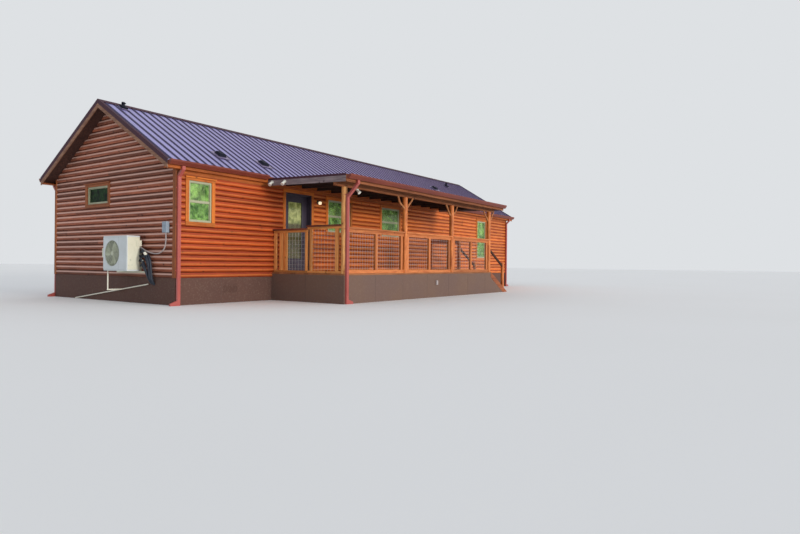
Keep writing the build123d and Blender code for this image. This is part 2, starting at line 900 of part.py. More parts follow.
def porch_strip(y_low, y_high, lift_low, lift_high, x_low, x_high):
    """A strip along the porch roof, at two heights over the underside of its rafters."""
    outline = [
        (y_low, rafter_foot(y_low) + lift_low),
        (y_high, rafter_foot(y_high) + lift_low),
        (y_high, rafter_foot(y_high) + lift_high),
        (y_low, rafter_foot(y_low) + lift_high),
    ]
    prism(from_near(x_low), outline, x_high - x_low)


rafter_span = beam_far - beam_near - rafter_width
rafter_bays = int(rafter_span / rafter_spacing) + 1
with BuildPart() as porch_roof_frame:
    for number in range(rafter_bays + 1):
        x_low = beam_near + number * rafter_span / rafter_bays
        porch_strip(porch_rafter_end, eave_board_face, 0, rafter_height, x_low, x_low + rafter_width)
    porch_strip(porch_rafter_end, eave_board_face, rafter_height, porch_roof_rest,
                beam_near, beam_far)
    beam(Mode.SUBTRACT)

with BuildPart() as porch_roof_sheet:
    sheet_edge = porch_fascia_face - sheet_lip
    edge = ((porch_roof_near + porch_roof_far) / 2, sheet_edge,
            rafter_foot(sheet_edge) + porch_roof_rest)
    ribbed_sheet(Plane(origin=edge, x_dir=(-1, 0, 0), z_dir=(0, 1, porch_slope)),
                 porch_roof_far - porch_roof_near, eave_board_face - sheet_edge)

with BuildPart() as porch_fascias:
    block(porch_roof_near, porch_roof_far, porch_fascia_face, porch_rafter_end,
          porch_fascia_top - porch_fascia_height,
          porch_fascia_top - board_thickness * porch_slope)
    for x_low in (porch_roof_near, beam_far):
        porch_strip(porch_rafter_end, eave_board_face, porch_roof_rest - porch_fascia_height,
                    porch_roof_rest, x_low, x_low + board_thickness)


# Railings: frames of lumber between the posts
def rail_panel(along_x, line, low, high, cap_top, uprights):
    """A railing along x or y: a cap, a top rail, a bottom rail and uprights."""

    def bar(start, end, half_width, z_low, z_high):
        if along_x:
            block(start, end, line - half_width, line + half_width, z_low, z_high)
        else:
            block(line - half_width, line + half_width, start, end, z_low, z_high)

    cap_foot = cap_top - lumber_thin
    rail_foot = cap_foot - lumber_wide
    bar(low, high, rail_cap_width / 2, cap_foot, cap_top)
    bar(low, high, lumber_thin / 2, rail_foot, cap_foot)
    bar(low, high, lumber_thin / 2, deck_top, deck_top + lumber_wide)
    for start, end in uprights:
        bar(start, end, upright_depth / 2, deck_top + lumber_wide, rail_foot)


near_rail_line = porch_near + post_radius
far_rail_line = porch_far - post_radius
stair_inner = porch_front + stair_width
inner_newel_line = stair_inner - stringer_thickness - newel_radius
with BuildPart() as porch_railings:
    for start, end in zip(post_lines, post_lines[1:]):
        low = start + post_radius / 2
        high = end - post_radius / 2
        first = start + post_radius
        last = end - post_radius - last_upright_gap - lumber_wide
        uprights = [(x, x + lumber_wide) for x in (first, (first + last) / 2, last)]
        uprights += [(low, first), (end - post_radius, high)]
        rail_panel(True, post_line, low, high, rail_cap_top, uprights)
    rail_panel(False, near_rail_line, near_rail_break, -siding_crest, near_rail_low_top,
               near_low_uprights)
    rail_panel(False, near_rail_line, post_line + post_radius / 2, near_rail_break,
               near_rail_high_top, near_high_uprights)
    rail_panel(False, far_rail_line, inner_newel_line, -siding_crest, rail_cap_top,
               [(-siding_crest - lumber_wide, -siding_crest)])
    with Locations((far_rail_line, inner_newel_line, (deck_top + top_newel_top) / 2)):
        Cylinder(newel_radius, top_newel_top - deck_top)
    posts(Mode.SUBTRACT)

# Stair: treads between two closed sides, sloping stringers, newels and handrails
step_rise = deck_top / step_count
stair_run = step_count * step_going
side_run = stair_run * (1 - stringer_drop / deck_top)
stair_side_lines = (porch_front + stringer_thickness, stair_inner)


def nosing(x):
    """Height of the line through the front edges of the treads."""
    return deck_top - (x - porch_far) * step_rise / step_going


with BuildPart() as stair_sides:
    for y_high in stair_side_lines:
        outline = [(porch_far, 0), (porch_far + side_run, 0), (porch_far, deck_top - stringer_drop)]
        prism(from_front(y_high), outline, stringer_thickness)

with BuildPart() as stair_stringers:
    for y_high in stair_side_lines:
        outline = [
            (porch_far, deck_top - stringer_drop),
            (porch_far + side_run, 0),
            (porch_far + stair_run, 0),
            (porch_far, deck_top),
        ]
        prism(from_front(y_high), outline, stringer_thickness)

with BuildPart() as stair_treads:
    for number in range(1, step_count):
        start = porch_far + (number - 1) * step_going
        top = deck_top - number * step_rise
        block(start, start + step_going, porch_front + stringer_thickness,
              stair_inner - stringer_thickness, top - tread_thickness, top)

newel_x = porch_far + newel_distance
outer_newel_line = porch_front + stringer_thickness + newel_radius
with BuildPart() as stair_railings:
    for y_line in (outer_newel_line, inner_newel_line):
        with Locations((newel_x, y_line, newel_top / 2)):
            Cylinder(newel_radius, newel_top)
        outline = [
            (far_rail_line, nosing(far_rail_line) + handrail_height),
            (far_rail_line, nosing(far_rail_line) + handrail_height - lumber_wide),
            (newel_x, nosing(newel_x) + handrail_height - lumber_wide),
            (newel_x, nosing(newel_x) + handrail_height),
        ]
        prism(from_front(y_line + lumber_thin / 2), outline, lumber_thin)
    posts(Mode.SUBTRACT)
    with Locations((far_rail_line, inner_newel_line, (deck_top + top_newel_top) / 2)):
        Cylinder(newel_radius, top_newel_top - deck_top, mode=Mode.SUBTRACT)

# Outdoor unit with a recessed fan, its bracket, lines and drains
siding_face = near_end - siding_crest
unit_back = siding_face - unit_off_wall
unit_front = unit_back - unit_depth
unit_low = unit_centre_y - unit_width / 2
unit_high = unit_centre_y + unit_width / 2


def unit_box(mode=Mode.ADD):
    """The housing of the outdoor unit."""
    block(unit_front, unit_back, unit_low, unit_high, unit_foot, unit_foot + unit_height, mode)


fan_centre = (unit_front, unit_centre_y + fan_off_centre, unit_foot + unit_height / 2)
with BuildPart() as air_unit:
    unit_box()
    fillet(air_unit.edges().filter_by(Axis.Z), unit_corner_radius)
    with BuildSketch(Plane(origin=fan_centre, x_dir=(0, -1, 0), z_dir=(-1, 0, 0))):
        Circle(fan_diameter / 2)
    extrude(amount=-fan_recess, mode=Mode.SUBTRACT)
    handle_x, handle_y, handle_z = handle_size
    block(unit_front + unit_corner_radius, unit_front + unit_corner_radius + handle_x,
          unit_high, unit_high + handle_y, handle_height, handle_height + handle_z)
    valve_x, valve_y, valve_z = valve_size
    block(unit_back - unit_corner_radius - valve_x, unit_back - unit_corner_radius,
          unit_low - valve_y, unit_low, valve_height, valve_height + valve_z)

with BuildPart() as air_unit_bracket:
    for y_low in (unit_low + bracket_inset, unit_high - bracket_inset - bracket_width):
        block(unit_front + bracket_inset / 2, siding_face, y_low, y_low + bracket_width,
              unit_foot - bracket_thickness, unit_foot)
        block(siding_face - bracket_thickness, siding_face, y_low, y_low + bracket_width,
              unit_foot, unit_foot + bracket_height)
    block(siding_face - bracket_rail_depth, siding_face,
          unit_low - bracket_rail_overrun, unit_high + bracket_inset,
          unit_foot - bracket_thickness - bracket_rail_height, unit_foot - bracket_thickness)

with BuildPart() as disconnect_box:
    block(siding_face - box_depth, siding_face, box_centre_y - box_width / 2,
          box_centre_y + box_width / 2, box_foot, box_foot + box_height)
    with BuildLine() as conduit_path:
        Spline(
            (near_end - 76, 235, box_foot + conduit_radius),
            (near_end - 78, 230, 1400),
            (near_end - 92, 320, 1190),
            (near_end - 125, 540, 1135),
            (near_end - 190, 850, 1190),
            (near_end - 250, unit_low + conduit_radius, 1290),
        )
    with BuildSketch(Plane(origin=conduit_path.line @ 0, z_dir=conduit_path.line % 0)):
        Circle(conduit_radius)
    sweep(path=conduit_path.line)
    unit_box(Mode.SUBTRACT)

with BuildPart() as refrigerant_lines:
    with BuildLine() as line_path:
        Spline(
            (near_end - 210, unit_low + line_radius, 1125),
            (near_end - 205, 1020, 1120),
            (near_end - 160, 880, 1000),
            (near_end - 115, 800, 790),
            (near_end - 90, 740, 620),
            (near_end - 55, 715, 490),
            (near_end + 10, 705, 440),
        )
    with BuildSketch(Plane(origin=line_path.line @ 0, z_dir=line_path.line % 0)):
        Circle(line_radius)
    sweep(path=line_path.line)
    unit_box(Mode.SUBTRACT)
    side_block("near", 0, house_width, -house_width, foundation_proud, 0, siding_foot, Mode.SUBTRACT)

with BuildPart() as condensate_drains:
    drain_x = near_end - foundation_proud - drain_elbow_radius
    drain_drop = (drain_high[1] - drain_low[1]) / (drain_low[0] - drain_high[0])
    drain_join = drain_high[1] - (drain_unit_y - drain_high[0]) * drain_drop
    drain_out = near_end - drain_unit_out
    for path_points in (
        [(drain_x, *drain_high), (drain_x, *drain_low)],
        [(drain_x, drain_unit_y, drain_join), (drain_out, drain_unit_y, drain_join)],
        [(drain_out, drain_unit_y, drain_join), (drain_out, drain_unit_y, unit_foot)],
    ):
        with BuildLine() as drain_path:
            Line(*path_points)
        with BuildSketch(Plane(origin=drain_path.line @ 0, z_dir=drain_path.line % 0)):
            Circle(drain_radius)
        sweep(path=drain_path.line)
    with Locations((drain_x, drain_unit_y, drain_join), (drain_out, drain_unit_y, drain_join)):
        Sphere(drain_elbow_radius)

# Lights: a jar lamp beside the door, two floods on the porch fascia and one under the beam
with BuildPart() as wall_lamp:
    lamp_x = near_end + lamp_near_x
    jar_y = -siding_crest - lamp_plate_depth - lamp_jar_radius
    with BuildSketch(from_front(-siding_crest)):
        with Locations((lamp_x, lamp_height)):
            Circle(lamp_plate_radius)
    extrude(amount=lamp_plate_depth + lamp_jar_radius / 2)
    with BuildSketch(Plane.XY.offset(lamp_jar_foot)):
        with Locations((lamp_x, jar_y)):
            Circle(lamp_jar_radius)
    extrude(amount=lamp_jar_height)


def flood(foot, out, aim):
    """A flood light: a round base that stands out of a face, and a flared head."""
    base = Plane(origin=foot, z_dir=out)
    neck = Plane(origin=base.offset(flood_base_depth - flood_neck_radius / 4).origin, z_dir=aim)
    with BuildSketch(base) as base_disc:
        Circle(flood_base_radius)
    extrude(base_disc.sketch, amount=flood_base_depth)
    with BuildSketch(neck) as neck_disc:
        Circle(flood_neck_radius)
    with BuildSketch(neck.offset(flood_head_length)) as head_disc:
        Circle(flood_head_radius)
    loft([neck_disc.sketch, head_disc.sketch])


with BuildPart() as flood_lights:
    for y_line in flood_lines:
        height = rafter_foot(y_line) + porch_roof_rest - porch_fascia_height / 2
        flood((porch_roof_near, y_line, height), (-1, 0, 0), (-1, 0, -1))
    flood((near_end + beam_flood_near_x, post_line, post_top), (0, 0, -1), (0, -1, -1))

# Labels and files
nodes = {
    "foundation_long_walls": foundation_long_walls,
    "foundation_gable_walls": foundation_gable_walls,
    "floor_platform": floor_platform,
    "wall_front_near": wall_front_near,
    "wall_front_far": wall_front_far,
    "wall_front_over_door": wall_front_over_door,
    "wall_back": wall_back,
    "wall_gables": wall_gables,
    "log_siding_front": log_siding_front,
    "log_siding_back": log_siding_back,
    "log_siding_gables": log_siding_gables,
    "corner_boards": corner_boards,
    "window_frames": window_frames,
    "window_glass": window_glass,
    "casings": casings,
    "door_jambs": door_jambs,
    "door_head_jamb": door_head_jamb,
    "door_threshold": door_threshold,
    "door_stops": door_stops,
    "door_leaf": door_leaf,
    "door_glass": door_glass,
    "door_knobs": door_knobs,
    "hinge_frame_halves": hinge_frame_halves,
    "hinge_leaf_halves": hinge_leaf_halves,
    "roof_deck_front": roof_deck_front,
    "roof_deck_back": roof_deck_back,
    "roof_sheet_front": roof_sheet_front,
    "roof_sheet_back": roof_sheet_back,
    "roof_trims": roof_trims,
    "rake_boards": rake_boards,
    "eave_boards": eave_boards,
    "frieze_boards": frieze_boards,
    "gutters": gutters,
    "downspouts": downspouts,
    "roof_vents": roof_vents,
    "porch_skirts": porch_skirts,
    "porch_deck": porch_deck,
    "porch_posts": porch_posts,
    "porch_beam": porch_beam,
    "post_braces": post_braces,
    "porch_roof_frame": porch_roof_frame,
    "porch_roof_sheet": porch_roof_sheet,
    "porch_fascias": porch_fascias,
    "porch_railings": porch_railings,
    "stair_sides": stair_sides,
    "stair_stringers": stair_stringers,
    "stair_treads": stair_treads,
    "stair_railings": stair_railings,
    "air_unit": air_unit,
    "air_unit_bracket": air_unit_bracket,
    "disconnect_box": disconnect_box,
    "refrigerant_lines": refrigerant_lines,
    "condensate_drains": condensate_drains,
    "wall_lamp": wall_lamp,
    "flood_lights": flood_lights,
}
os.makedirs("parts", exist_ok=True)
for name, node in nodes.items():
    node.part.label = name
    export_step(node.part, f"parts/{name}.step")
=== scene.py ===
"""Looks for a log cabin with a front porch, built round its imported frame. Metres, +Z up."""

import logging
from dataclasses import dataclass, field
from enum import Enum
from math import cos, pi, radians, sin, tan
from typing import Optional, Union

import bmesh
import bpy
import numpy as np
from mathutils import Matrix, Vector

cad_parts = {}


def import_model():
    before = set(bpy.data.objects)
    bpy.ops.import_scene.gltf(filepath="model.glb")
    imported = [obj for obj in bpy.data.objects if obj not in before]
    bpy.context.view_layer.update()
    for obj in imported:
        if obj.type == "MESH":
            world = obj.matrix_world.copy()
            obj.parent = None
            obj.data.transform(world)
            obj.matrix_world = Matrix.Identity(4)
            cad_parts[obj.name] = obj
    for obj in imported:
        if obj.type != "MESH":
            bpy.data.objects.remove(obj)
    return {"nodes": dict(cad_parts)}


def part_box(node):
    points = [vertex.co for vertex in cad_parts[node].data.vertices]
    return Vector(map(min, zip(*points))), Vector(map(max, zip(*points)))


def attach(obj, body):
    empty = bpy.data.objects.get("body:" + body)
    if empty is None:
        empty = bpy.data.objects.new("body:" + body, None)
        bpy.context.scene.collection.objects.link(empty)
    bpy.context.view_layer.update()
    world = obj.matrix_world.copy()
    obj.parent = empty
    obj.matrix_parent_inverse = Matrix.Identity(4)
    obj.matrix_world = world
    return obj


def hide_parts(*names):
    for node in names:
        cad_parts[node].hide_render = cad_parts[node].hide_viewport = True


LOG = logging.getLogger("cabin")
UP = np.array([0.0, 0.0, 1.0])
PORCH_SLOPE = 0.024
SEED_STEP = 3.71
LARGEST_EASE = 0.4
Vec = tuple[float, float, float]
Socket = bpy.types.NodeSocket
Rim = tuple[float, float, float, float]
Reach = Union[float, np.ndarray]


def linear(colour: str) -> tuple[float, float, float, float]:
    """Turns an sRGB hex value such as #C4602A into linear RGBA."""
    channels = np.array([int(colour[place:place + 2], 16) for place in (1, 3, 5)]) / 255.0
    toe = channels / 12.92
    curve = ((channels + 0.055) / 1.055) ** 2.4
    return (*np.where(channels <= 0.04045, toe, curve), 1.0)


class Graph:
    """The node tree of one material, or of the world."""

    def __init__(self, name: str, owner: Optional[bpy.types.World] = None) -> None:
        """Starts an empty tree with the object's own coordinates and its UV map."""
        self.owner = owner or bpy.data.materials.new(name)
        self.owner.use_nodes = True
        self.tree = self.owner.node_tree
        self.tree.nodes.clear()
        coordinates = self.add("TexCoord", ()).node
        self.place = coordinates.outputs["Object"]
        self.uv = coordinates.outputs["UV"]

    def add(self, kind: str, inputs: Union[dict, tuple], out: Union[int, str] = 0,
            **settings: object) -> Optional[Socket]:
        """Adds a node with its settings and links.

        Args:
            kind: The node's type without its ShaderNode prefix.
            inputs: Values or sockets, in the inputs' order or by the name or number of each.
            out: The name or number of the output to return.
            **settings: The node's own properties.

        Returns:
            One output of the node, or None for a node that has none.
        """
        node = self.tree.nodes.new("ShaderNode" + kind)
        for key, value in settings.items():
            setattr(node, key, value)
        for key, value in inputs.items() if isinstance(inputs, dict) else enumerate(inputs):
            if isinstance(value, bpy.types.NodeSocket):
                self.tree.links.new(value, node.inputs[key])
            else:
                node.inputs[key].default_value = value
        return node.outputs[out] if node.outputs else None

    def part(self, vector: Socket, number: int) -> Socket:
        """One part of a vector, by its number."""
        return self.add("SeparateXYZ", (vector,), number)

    def distance(self, place: Socket, centre: float) -> Socket:
        """How far a value lies from a centre."""
        return self.add("Math", (self.add("Math", (place, centre), operation="SUBTRACT"),),
                        operation="ABSOLUTE")

    def finish(self, inputs: dict) -> bpy.types.Material:
        """Ends the tree in a principled surface and returns the material."""
        self.add("OutputMaterial", {"Surface": self.add("BsdfPrincipled", inputs)})
        return self.owner


class Grain(Enum):
    """Where a wood's grain runs: along each board's own UV map, or along an axis."""

    BOARD = "board"
    X = "XYZ"
    Y = "YXZ"
    Z = "ZXY"


@dataclass(frozen=True)
class Wood:
    """Softwood under a stain.

    Broad streaks and fine lines follow the grain, round knots sit in it, and each board takes
    the stain a little differently. Distances are in millimetres.
    """

    name: str
    light: str
    deep: str
    knot: str
    grain: Grain = Grain.BOARD
    streak: float = 30.0
    line: float = 3.5
    stretch: float = 16.0
    knot_spacing: float = 135.0
    knot_radius: float = 19.0
    knot_share: float = 0.16
    spread: float = 0.35
    line_depth: float = 0.35
    roughness: float = 0.55
    gloss: float = 0.3
    face: float = 0.0
    # groove, crest and upper: painted shade in a log's grooves, a painted highlight on its crest, and a
    # painted colour on its upper curve for the sky that it mirrors
    groove: str = "#45160A"
    crest: str = "#E8964A"
    crest_share: float = 0.0
    crest_place: float = 0.45
    upper: str = "#9C4630"
    upper_share: float = 0.0

    def direction(self, graph: Graph) -> Socket:
        """Coordinates in metres whose first part runs along the grain."""
        if self.grain is Grain.BOARD:
            return graph.uv
        if self.grain is Grain.X:
            return graph.place
        split = graph.part(graph.place, 0).node
        return graph.add("CombineXYZ", tuple(split.outputs[letter] for letter in self.grain.value))

    def tone(self, graph: Graph, vector: Socket) -> Socket:
        """A random value for each board, or a slow drift where the node has no boards."""
        if self.grain is not Grain.BOARD:
            return graph.add("TexNoise", {"Vector": vector, "Scale": 0.8, "Detail": 1.0})
        board = graph.add("Math", (graph.part(vector, 1),), operation="FLOOR")
        return graph.add("TexWhiteNoise", {"W": board}, noise_dimensions="1D")

    def colour_and_height(self, graph: Graph) -> tuple[Socket, Socket]:
        """Builds the pattern.

        Args:
            graph: The tree that it is added to.

        Returns:
            The colour and the height of the surface.
        """
        vector = self.direction(graph)
        streaks, lines = 1000.0 / self.streak, 1000.0 / self.line
        drawn = graph.add("Mapping", {"Vector": vector,
                                      "Scale": (streaks / self.stretch, streaks, streaks)})
        broad = graph.add("TexNoise", {"Vector": drawn, "Scale": 1.0, "Detail": 4.0,
                                       "Roughness": 0.6, "Distortion": 0.5})
        drawn = graph.add("Mapping", {"Vector": vector,
                                      "Scale": (lines / (2 * self.stretch), lines, lines)})
        fine = graph.add("TexNoise", {"Vector": drawn, "Scale": 1.0, "Detail": 2.0, "Roughness": 0.7})
        body = graph.add("MapRange", (broad, 0.36, 0.66, 0.0, 1.0))
        colour = graph.add("Mix", {0: body, 6: linear(self.light), 7: linear(self.deep)}, 2,
                           data_type="RGBA")
        marks = graph.add("MapRange", (fine, 0.5, 0.75, 0.0, self.line_depth))
        colour = graph.add("Mix", {0: marks, 6: colour, 7: linear(self.knot)}, 2, data_type="RGBA")
        tone = graph.add("MapRange", (self.tone(graph, vector), 0.0, 1.0, 1.0 - self.spread,
                                      1.0 + self.spread / 2))
        colour = graph.add("VectorMath", {0: colour, "Scale": tone}, operation="SCALE")
        wander = graph.add("TexNoise", {"Vector": vector, "Scale": 30.0}, "Color")
        wander = graph.add("VectorMath", {0: wander, "Scale": 0.012}, operation="SCALE")
        cells = graph.add("TexVoronoi", {
            "Vector": graph.add("VectorMath", (vector, wander), operation="ADD"),
            "Scale": 1000.0 / self.knot_spacing,
        })
        kept = graph.add("Math", (graph.part(cells.node.outputs["Color"], 0), self.knot_share),
                         operation="LESS_THAN")
        size = self.knot_radius / self.knot_spacing
        eye = graph.add("MapRange", (cells, 0.6 * size, 1.3 * size, 1.0, 0.0))
        halo = graph.add("MapRange", (cells, size, 2.6 * size, 0.35, 0.0))
        knots = graph.add("Math", (graph.add("Math", (eye, halo), operation="MAXIMUM"), kept),
                          operation="MULTIPLY")
        colour = graph.add("Mix", {0: knots, 6: colour, 7: linear(self.knot)}, 2, data_type="RGBA")
        return colour, graph.add("Math", (broad, 0.5, fine), operation="MULTIPLY_ADD")

    def log_bands(self, graph: Graph, colour: Socket) -> Socket:
        """Shades each rounded log across its face.

        The upper part is painted its own colour for the sky that it mirrors, the crest gets a painted
        highlight, and the grooves get painted shade. Places run from 0 at a log's foot to 1 at its top.
        """
        across = graph.add("Math", (graph.part(graph.uv, 1),), operation="FRACT")
        place = graph.add("Math", (across, 1000.0 / self.face), operation="MULTIPLY")
        # Painted light and shade: the upper curve's colour for mirrored sky, the crest's highlight, the
        # grooves' shade
        bands = ((0.78, 0.04, 0.2, self.upper_share, 0.0, self.upper),
                 (self.crest_place, 0.02, 0.2, self.crest_share, 0.0, self.crest),
                 (0.5, 0.41, 0.49, 0.0, 0.9, self.groove))
        for centre, solid, reach, inside, outside, shade in bands:
            band = graph.add("MapRange", (graph.distance(place, centre), solid, reach, inside, outside),
                             interpolation_type="SMOOTHSTEP")
            colour = graph.add("Mix", {0: band, 6: colour, 7: linear(shade)}, 2, data_type="RGBA")
        return colour

    def material(self) -> bpy.types.Material:
        """Builds the material."""
        graph = Graph(self.name)
        colour, height = self.colour_and_height(graph)
        if self.face:
            colour = self.log_bands(graph, colour)
        rough = graph.add("MapRange", (height, 0.3, 1.0, self.roughness - 0.08, self.roughness + 0.12))
        bump = graph.add("Bump", {"Height": height, "Strength": 0.35, "Distance": 0.002})
        return graph.finish({"Base Color": colour, "Roughness": rough, "Normal": bump,
                             "Specular IOR Level": self.gloss})


@dataclass(frozen=True)
class RibbedSteel:
    """Baked paint on ribbed roof sheets.

    The pans between the ribs are painted pale as a painted reflection of the sky, turning plum
    towards the far end, and the sheet beside each rib is painted dark as shade, with dust. The paint is
    chalked in runs down the slope. Distances are in metres.
    """

    name: str
    start: float
    # pan and far_pan: a painted reflection of the sky on the plum paint; rib: painted shade beside each
    # rib
    pan: str = "#9B96CA"
    far_pan: str = "#86698F"
    rib: str = "#372E54"
    spacing: float = 0.229
    dark_reach: float = 0.034
    pan_reach: float = 0.066
    ends: tuple[float, float] = (-8.8, 6.0)
    roughness: float = 0.42
    metallic: float = 0.2

    def material(self) -> bpy.types.Material:
        """Builds the material."""
        graph = Graph(self.name)
        along = graph.part(graph.place, 0)
        phase = along
        for value, step in ((self.start, "SUBTRACT"), (self.spacing, "DIVIDE"), (0.5, "ADD")):
            phase = graph.add("Math", (phase, value), operation=step)
        off = graph.distance(graph.add("Math", (phase,), operation="FRACT"), 0.5)
        # Painted shade beside each rib
        shade = graph.add("MapRange", (off, self.dark_reach / self.spacing,
                                       self.pan_reach / self.spacing, 1.0, 0.0),
                          interpolation_type="SMOOTHSTEP")
        # Painted reflection: the pale pan colour turns plum towards the far end
        drift = graph.add("MapRange", (along, *self.ends, 0.0, 1.0))
        pan = graph.add("Mix", {0: drift, 6: linear(self.pan), 7: linear(self.far_pan)}, 2,
                        data_type="RGBA")
        runs = graph.add("TexNoise", {
            "Vector": graph.add("Mapping", {"Vector": graph.place, "Scale": (14.0, 1.2, 1.2)}),
            "Scale": 1.0, "Detail": 5.0, "Roughness": 0.6,
        })
        worn = graph.add("MapRange", (runs, 0.35, 0.7, 0.86, 1.1))
        pan = graph.add("VectorMath", {0: pan, "Scale": worn}, operation="SCALE")
        colour = graph.add("Mix", {0: shade, 6: pan, 7: linear(self.rib)}, 2, data_type="RGBA")
        rough = graph.add("MapRange", (runs, 0.3, 0.7, self.roughness - 0.08, self.roughness + 0.1))
        return graph.finish({"Base Color": colour, "Roughness": rough, "Metallic": self.metallic})


@dataclass(frozen=True)
class Coating:
    """Paint, powder coat, render or moulded plastic.

    Slow blotches of fading, finer specks of dust and a skin texture. Distances are in
    millimetres, and the blotches are drawn out by the stretch along each axis.
    """

    name: str
    colour: str
    faded: str
    blotch: float = 400.0
    speck: float = 12.0
    stretch: Vec = (1.0, 1.0, 1.0)
    fading: float = 0.7
    dust: str = "#8A7B6A"
    dust_share: float = 0.15
    texture: float = 2.0
    relief: float = 0.3
    roughness: float = 0.45
    metallic: float = 0.0
    coat: float = 0.0
    gloss: float = 0.5

    def material(self) -> bpy.types.Material:
        """Builds the material."""
        graph = Graph(self.name)
        drawn = graph.add("Mapping", {"Vector": graph.place, "Scale": self.stretch})
        blotches = graph.add("TexNoise", {"Vector": drawn, "Scale": 1000.0 / self.blotch,
                                          "Detail": 5.0, "Roughness": 0.6})
        specks = graph.add("TexNoise", {"Vector": graph.place, "Scale": 1000.0 / self.speck,
                                        "Detail": 3.0, "Roughness": 0.7})
        skin = graph.add("TexNoise", {"Vector": graph.place, "Scale": 1000.0 / self.texture,
                                      "Detail": 2.0})
        share = graph.add("MapRange", (blotches, 0.35, 0.7, 0.0, self.fading))
        colour = graph.add("Mix", {0: share, 6: linear(self.colour), 7: linear(self.faded)}, 2,
                           data_type="RGBA")
        settled = graph.add("MapRange", (specks, 0.52, 0.8, 0.0, self.dust_share))
        colour = graph.add("Mix", {0: settled, 6: colour, 7: linear(self.dust)}, 2, data_type="RGBA")
        rough = graph.add("MapRange", (blotches, 0.3, 0.7, self.roughness - 0.07, self.roughness + 0.1))
        bump = graph.add("Bump", {"Height": skin, "Strength": self.relief, "Distance": 0.001})
        return graph.finish({"Base Color": colour, "Roughness": rough, "Normal": bump,
                             "Metallic": self.metallic, "Coat Weight": self.coat,
                             "Coat Roughness": 0.2, "Specular IOR Level": self.gloss})


@dataclass(frozen=True)
class Glazing:
    """Coated window glass with a green tint: light and dark green patches as a painted reflection, and a
    film of dust.

    The alpha is how much of it the eye stops at; the rest shows what hangs behind the pane.
    Below the shade's height it is painted darker, as a painted reflection of a railing and floor boards.
    """

    name: str
    light: str
    deep: str
    alpha: float = 0.62
    patch: float = 150.0
    roughness: float = 0.04
    gloss: float = 0.5
    shade: str = "#4C4030"
    shade_height: float = 0.0

    def material(self) -> bpy.types.Material:
        """Builds the material."""
        graph = Graph(self.name)
        # Painted reflection: patches of light and dark green
        patches = graph.add("TexNoise", {"Vector": graph.place, "Scale": 1000.0 / self.patch,
                                         "Detail": 4.0, "Roughness": 0.65, "Distortion": 0.8})
        share = graph.add("MapRange", (patches, 0.38, 0.62, 0.0, 1.0))
        colour = graph.add("Mix", {0: share, 6: linear(self.light), 7: linear(self.deep)}, 2,
                           data_type="RGBA")
        # Painted reflection below the shade's height: darker
        if self.shade_height:
            below = graph.add("MapRange", (graph.part(graph.place, 2), self.shade_height - 0.05,
                                           self.shade_height + 0.05, 0.85, 0.0),
                              interpolation_type="SMOOTHSTEP")
            colour = graph.add("Mix", {0: below, 6: colour, 7: linear(self.shade)}, 2,
                               data_type="RGBA")
        film = graph.add("TexNoise", {"Vector": graph.place, "Scale": 9.0, "Detail": 5.0})
        rough = graph.add("MapRange", (film, 0.4, 0.8, self.roughness, self.roughness + 0.08))
        return graph.finish({"Base Color": colour, "Roughness": rough, "Alpha": self.alpha,
                             "Specular IOR Level": self.gloss})


@dataclass(frozen=True)
class Glow:
    """A lit lamp: frosted glass round a warm filament."""

    name: str
    colour: str
    strength: float

    def material(self) -> bpy.types.Material:
        """Builds the material."""
        graph = Graph(self.name)
        cloud = graph.add("TexNoise", {"Vector": graph.place, "Scale": 60.0, "Detail": 2.0})
        colour = graph.add("Mix", {0: cloud, 6: linear(self.colour), 7: linear("#FFF6E2")}, 2,
                           data_type="RGBA")
        return graph.finish({"Base Color": colour, "Roughness": 0.3, "Emission Color": colour,
                             "Emission Strength": self.strength})


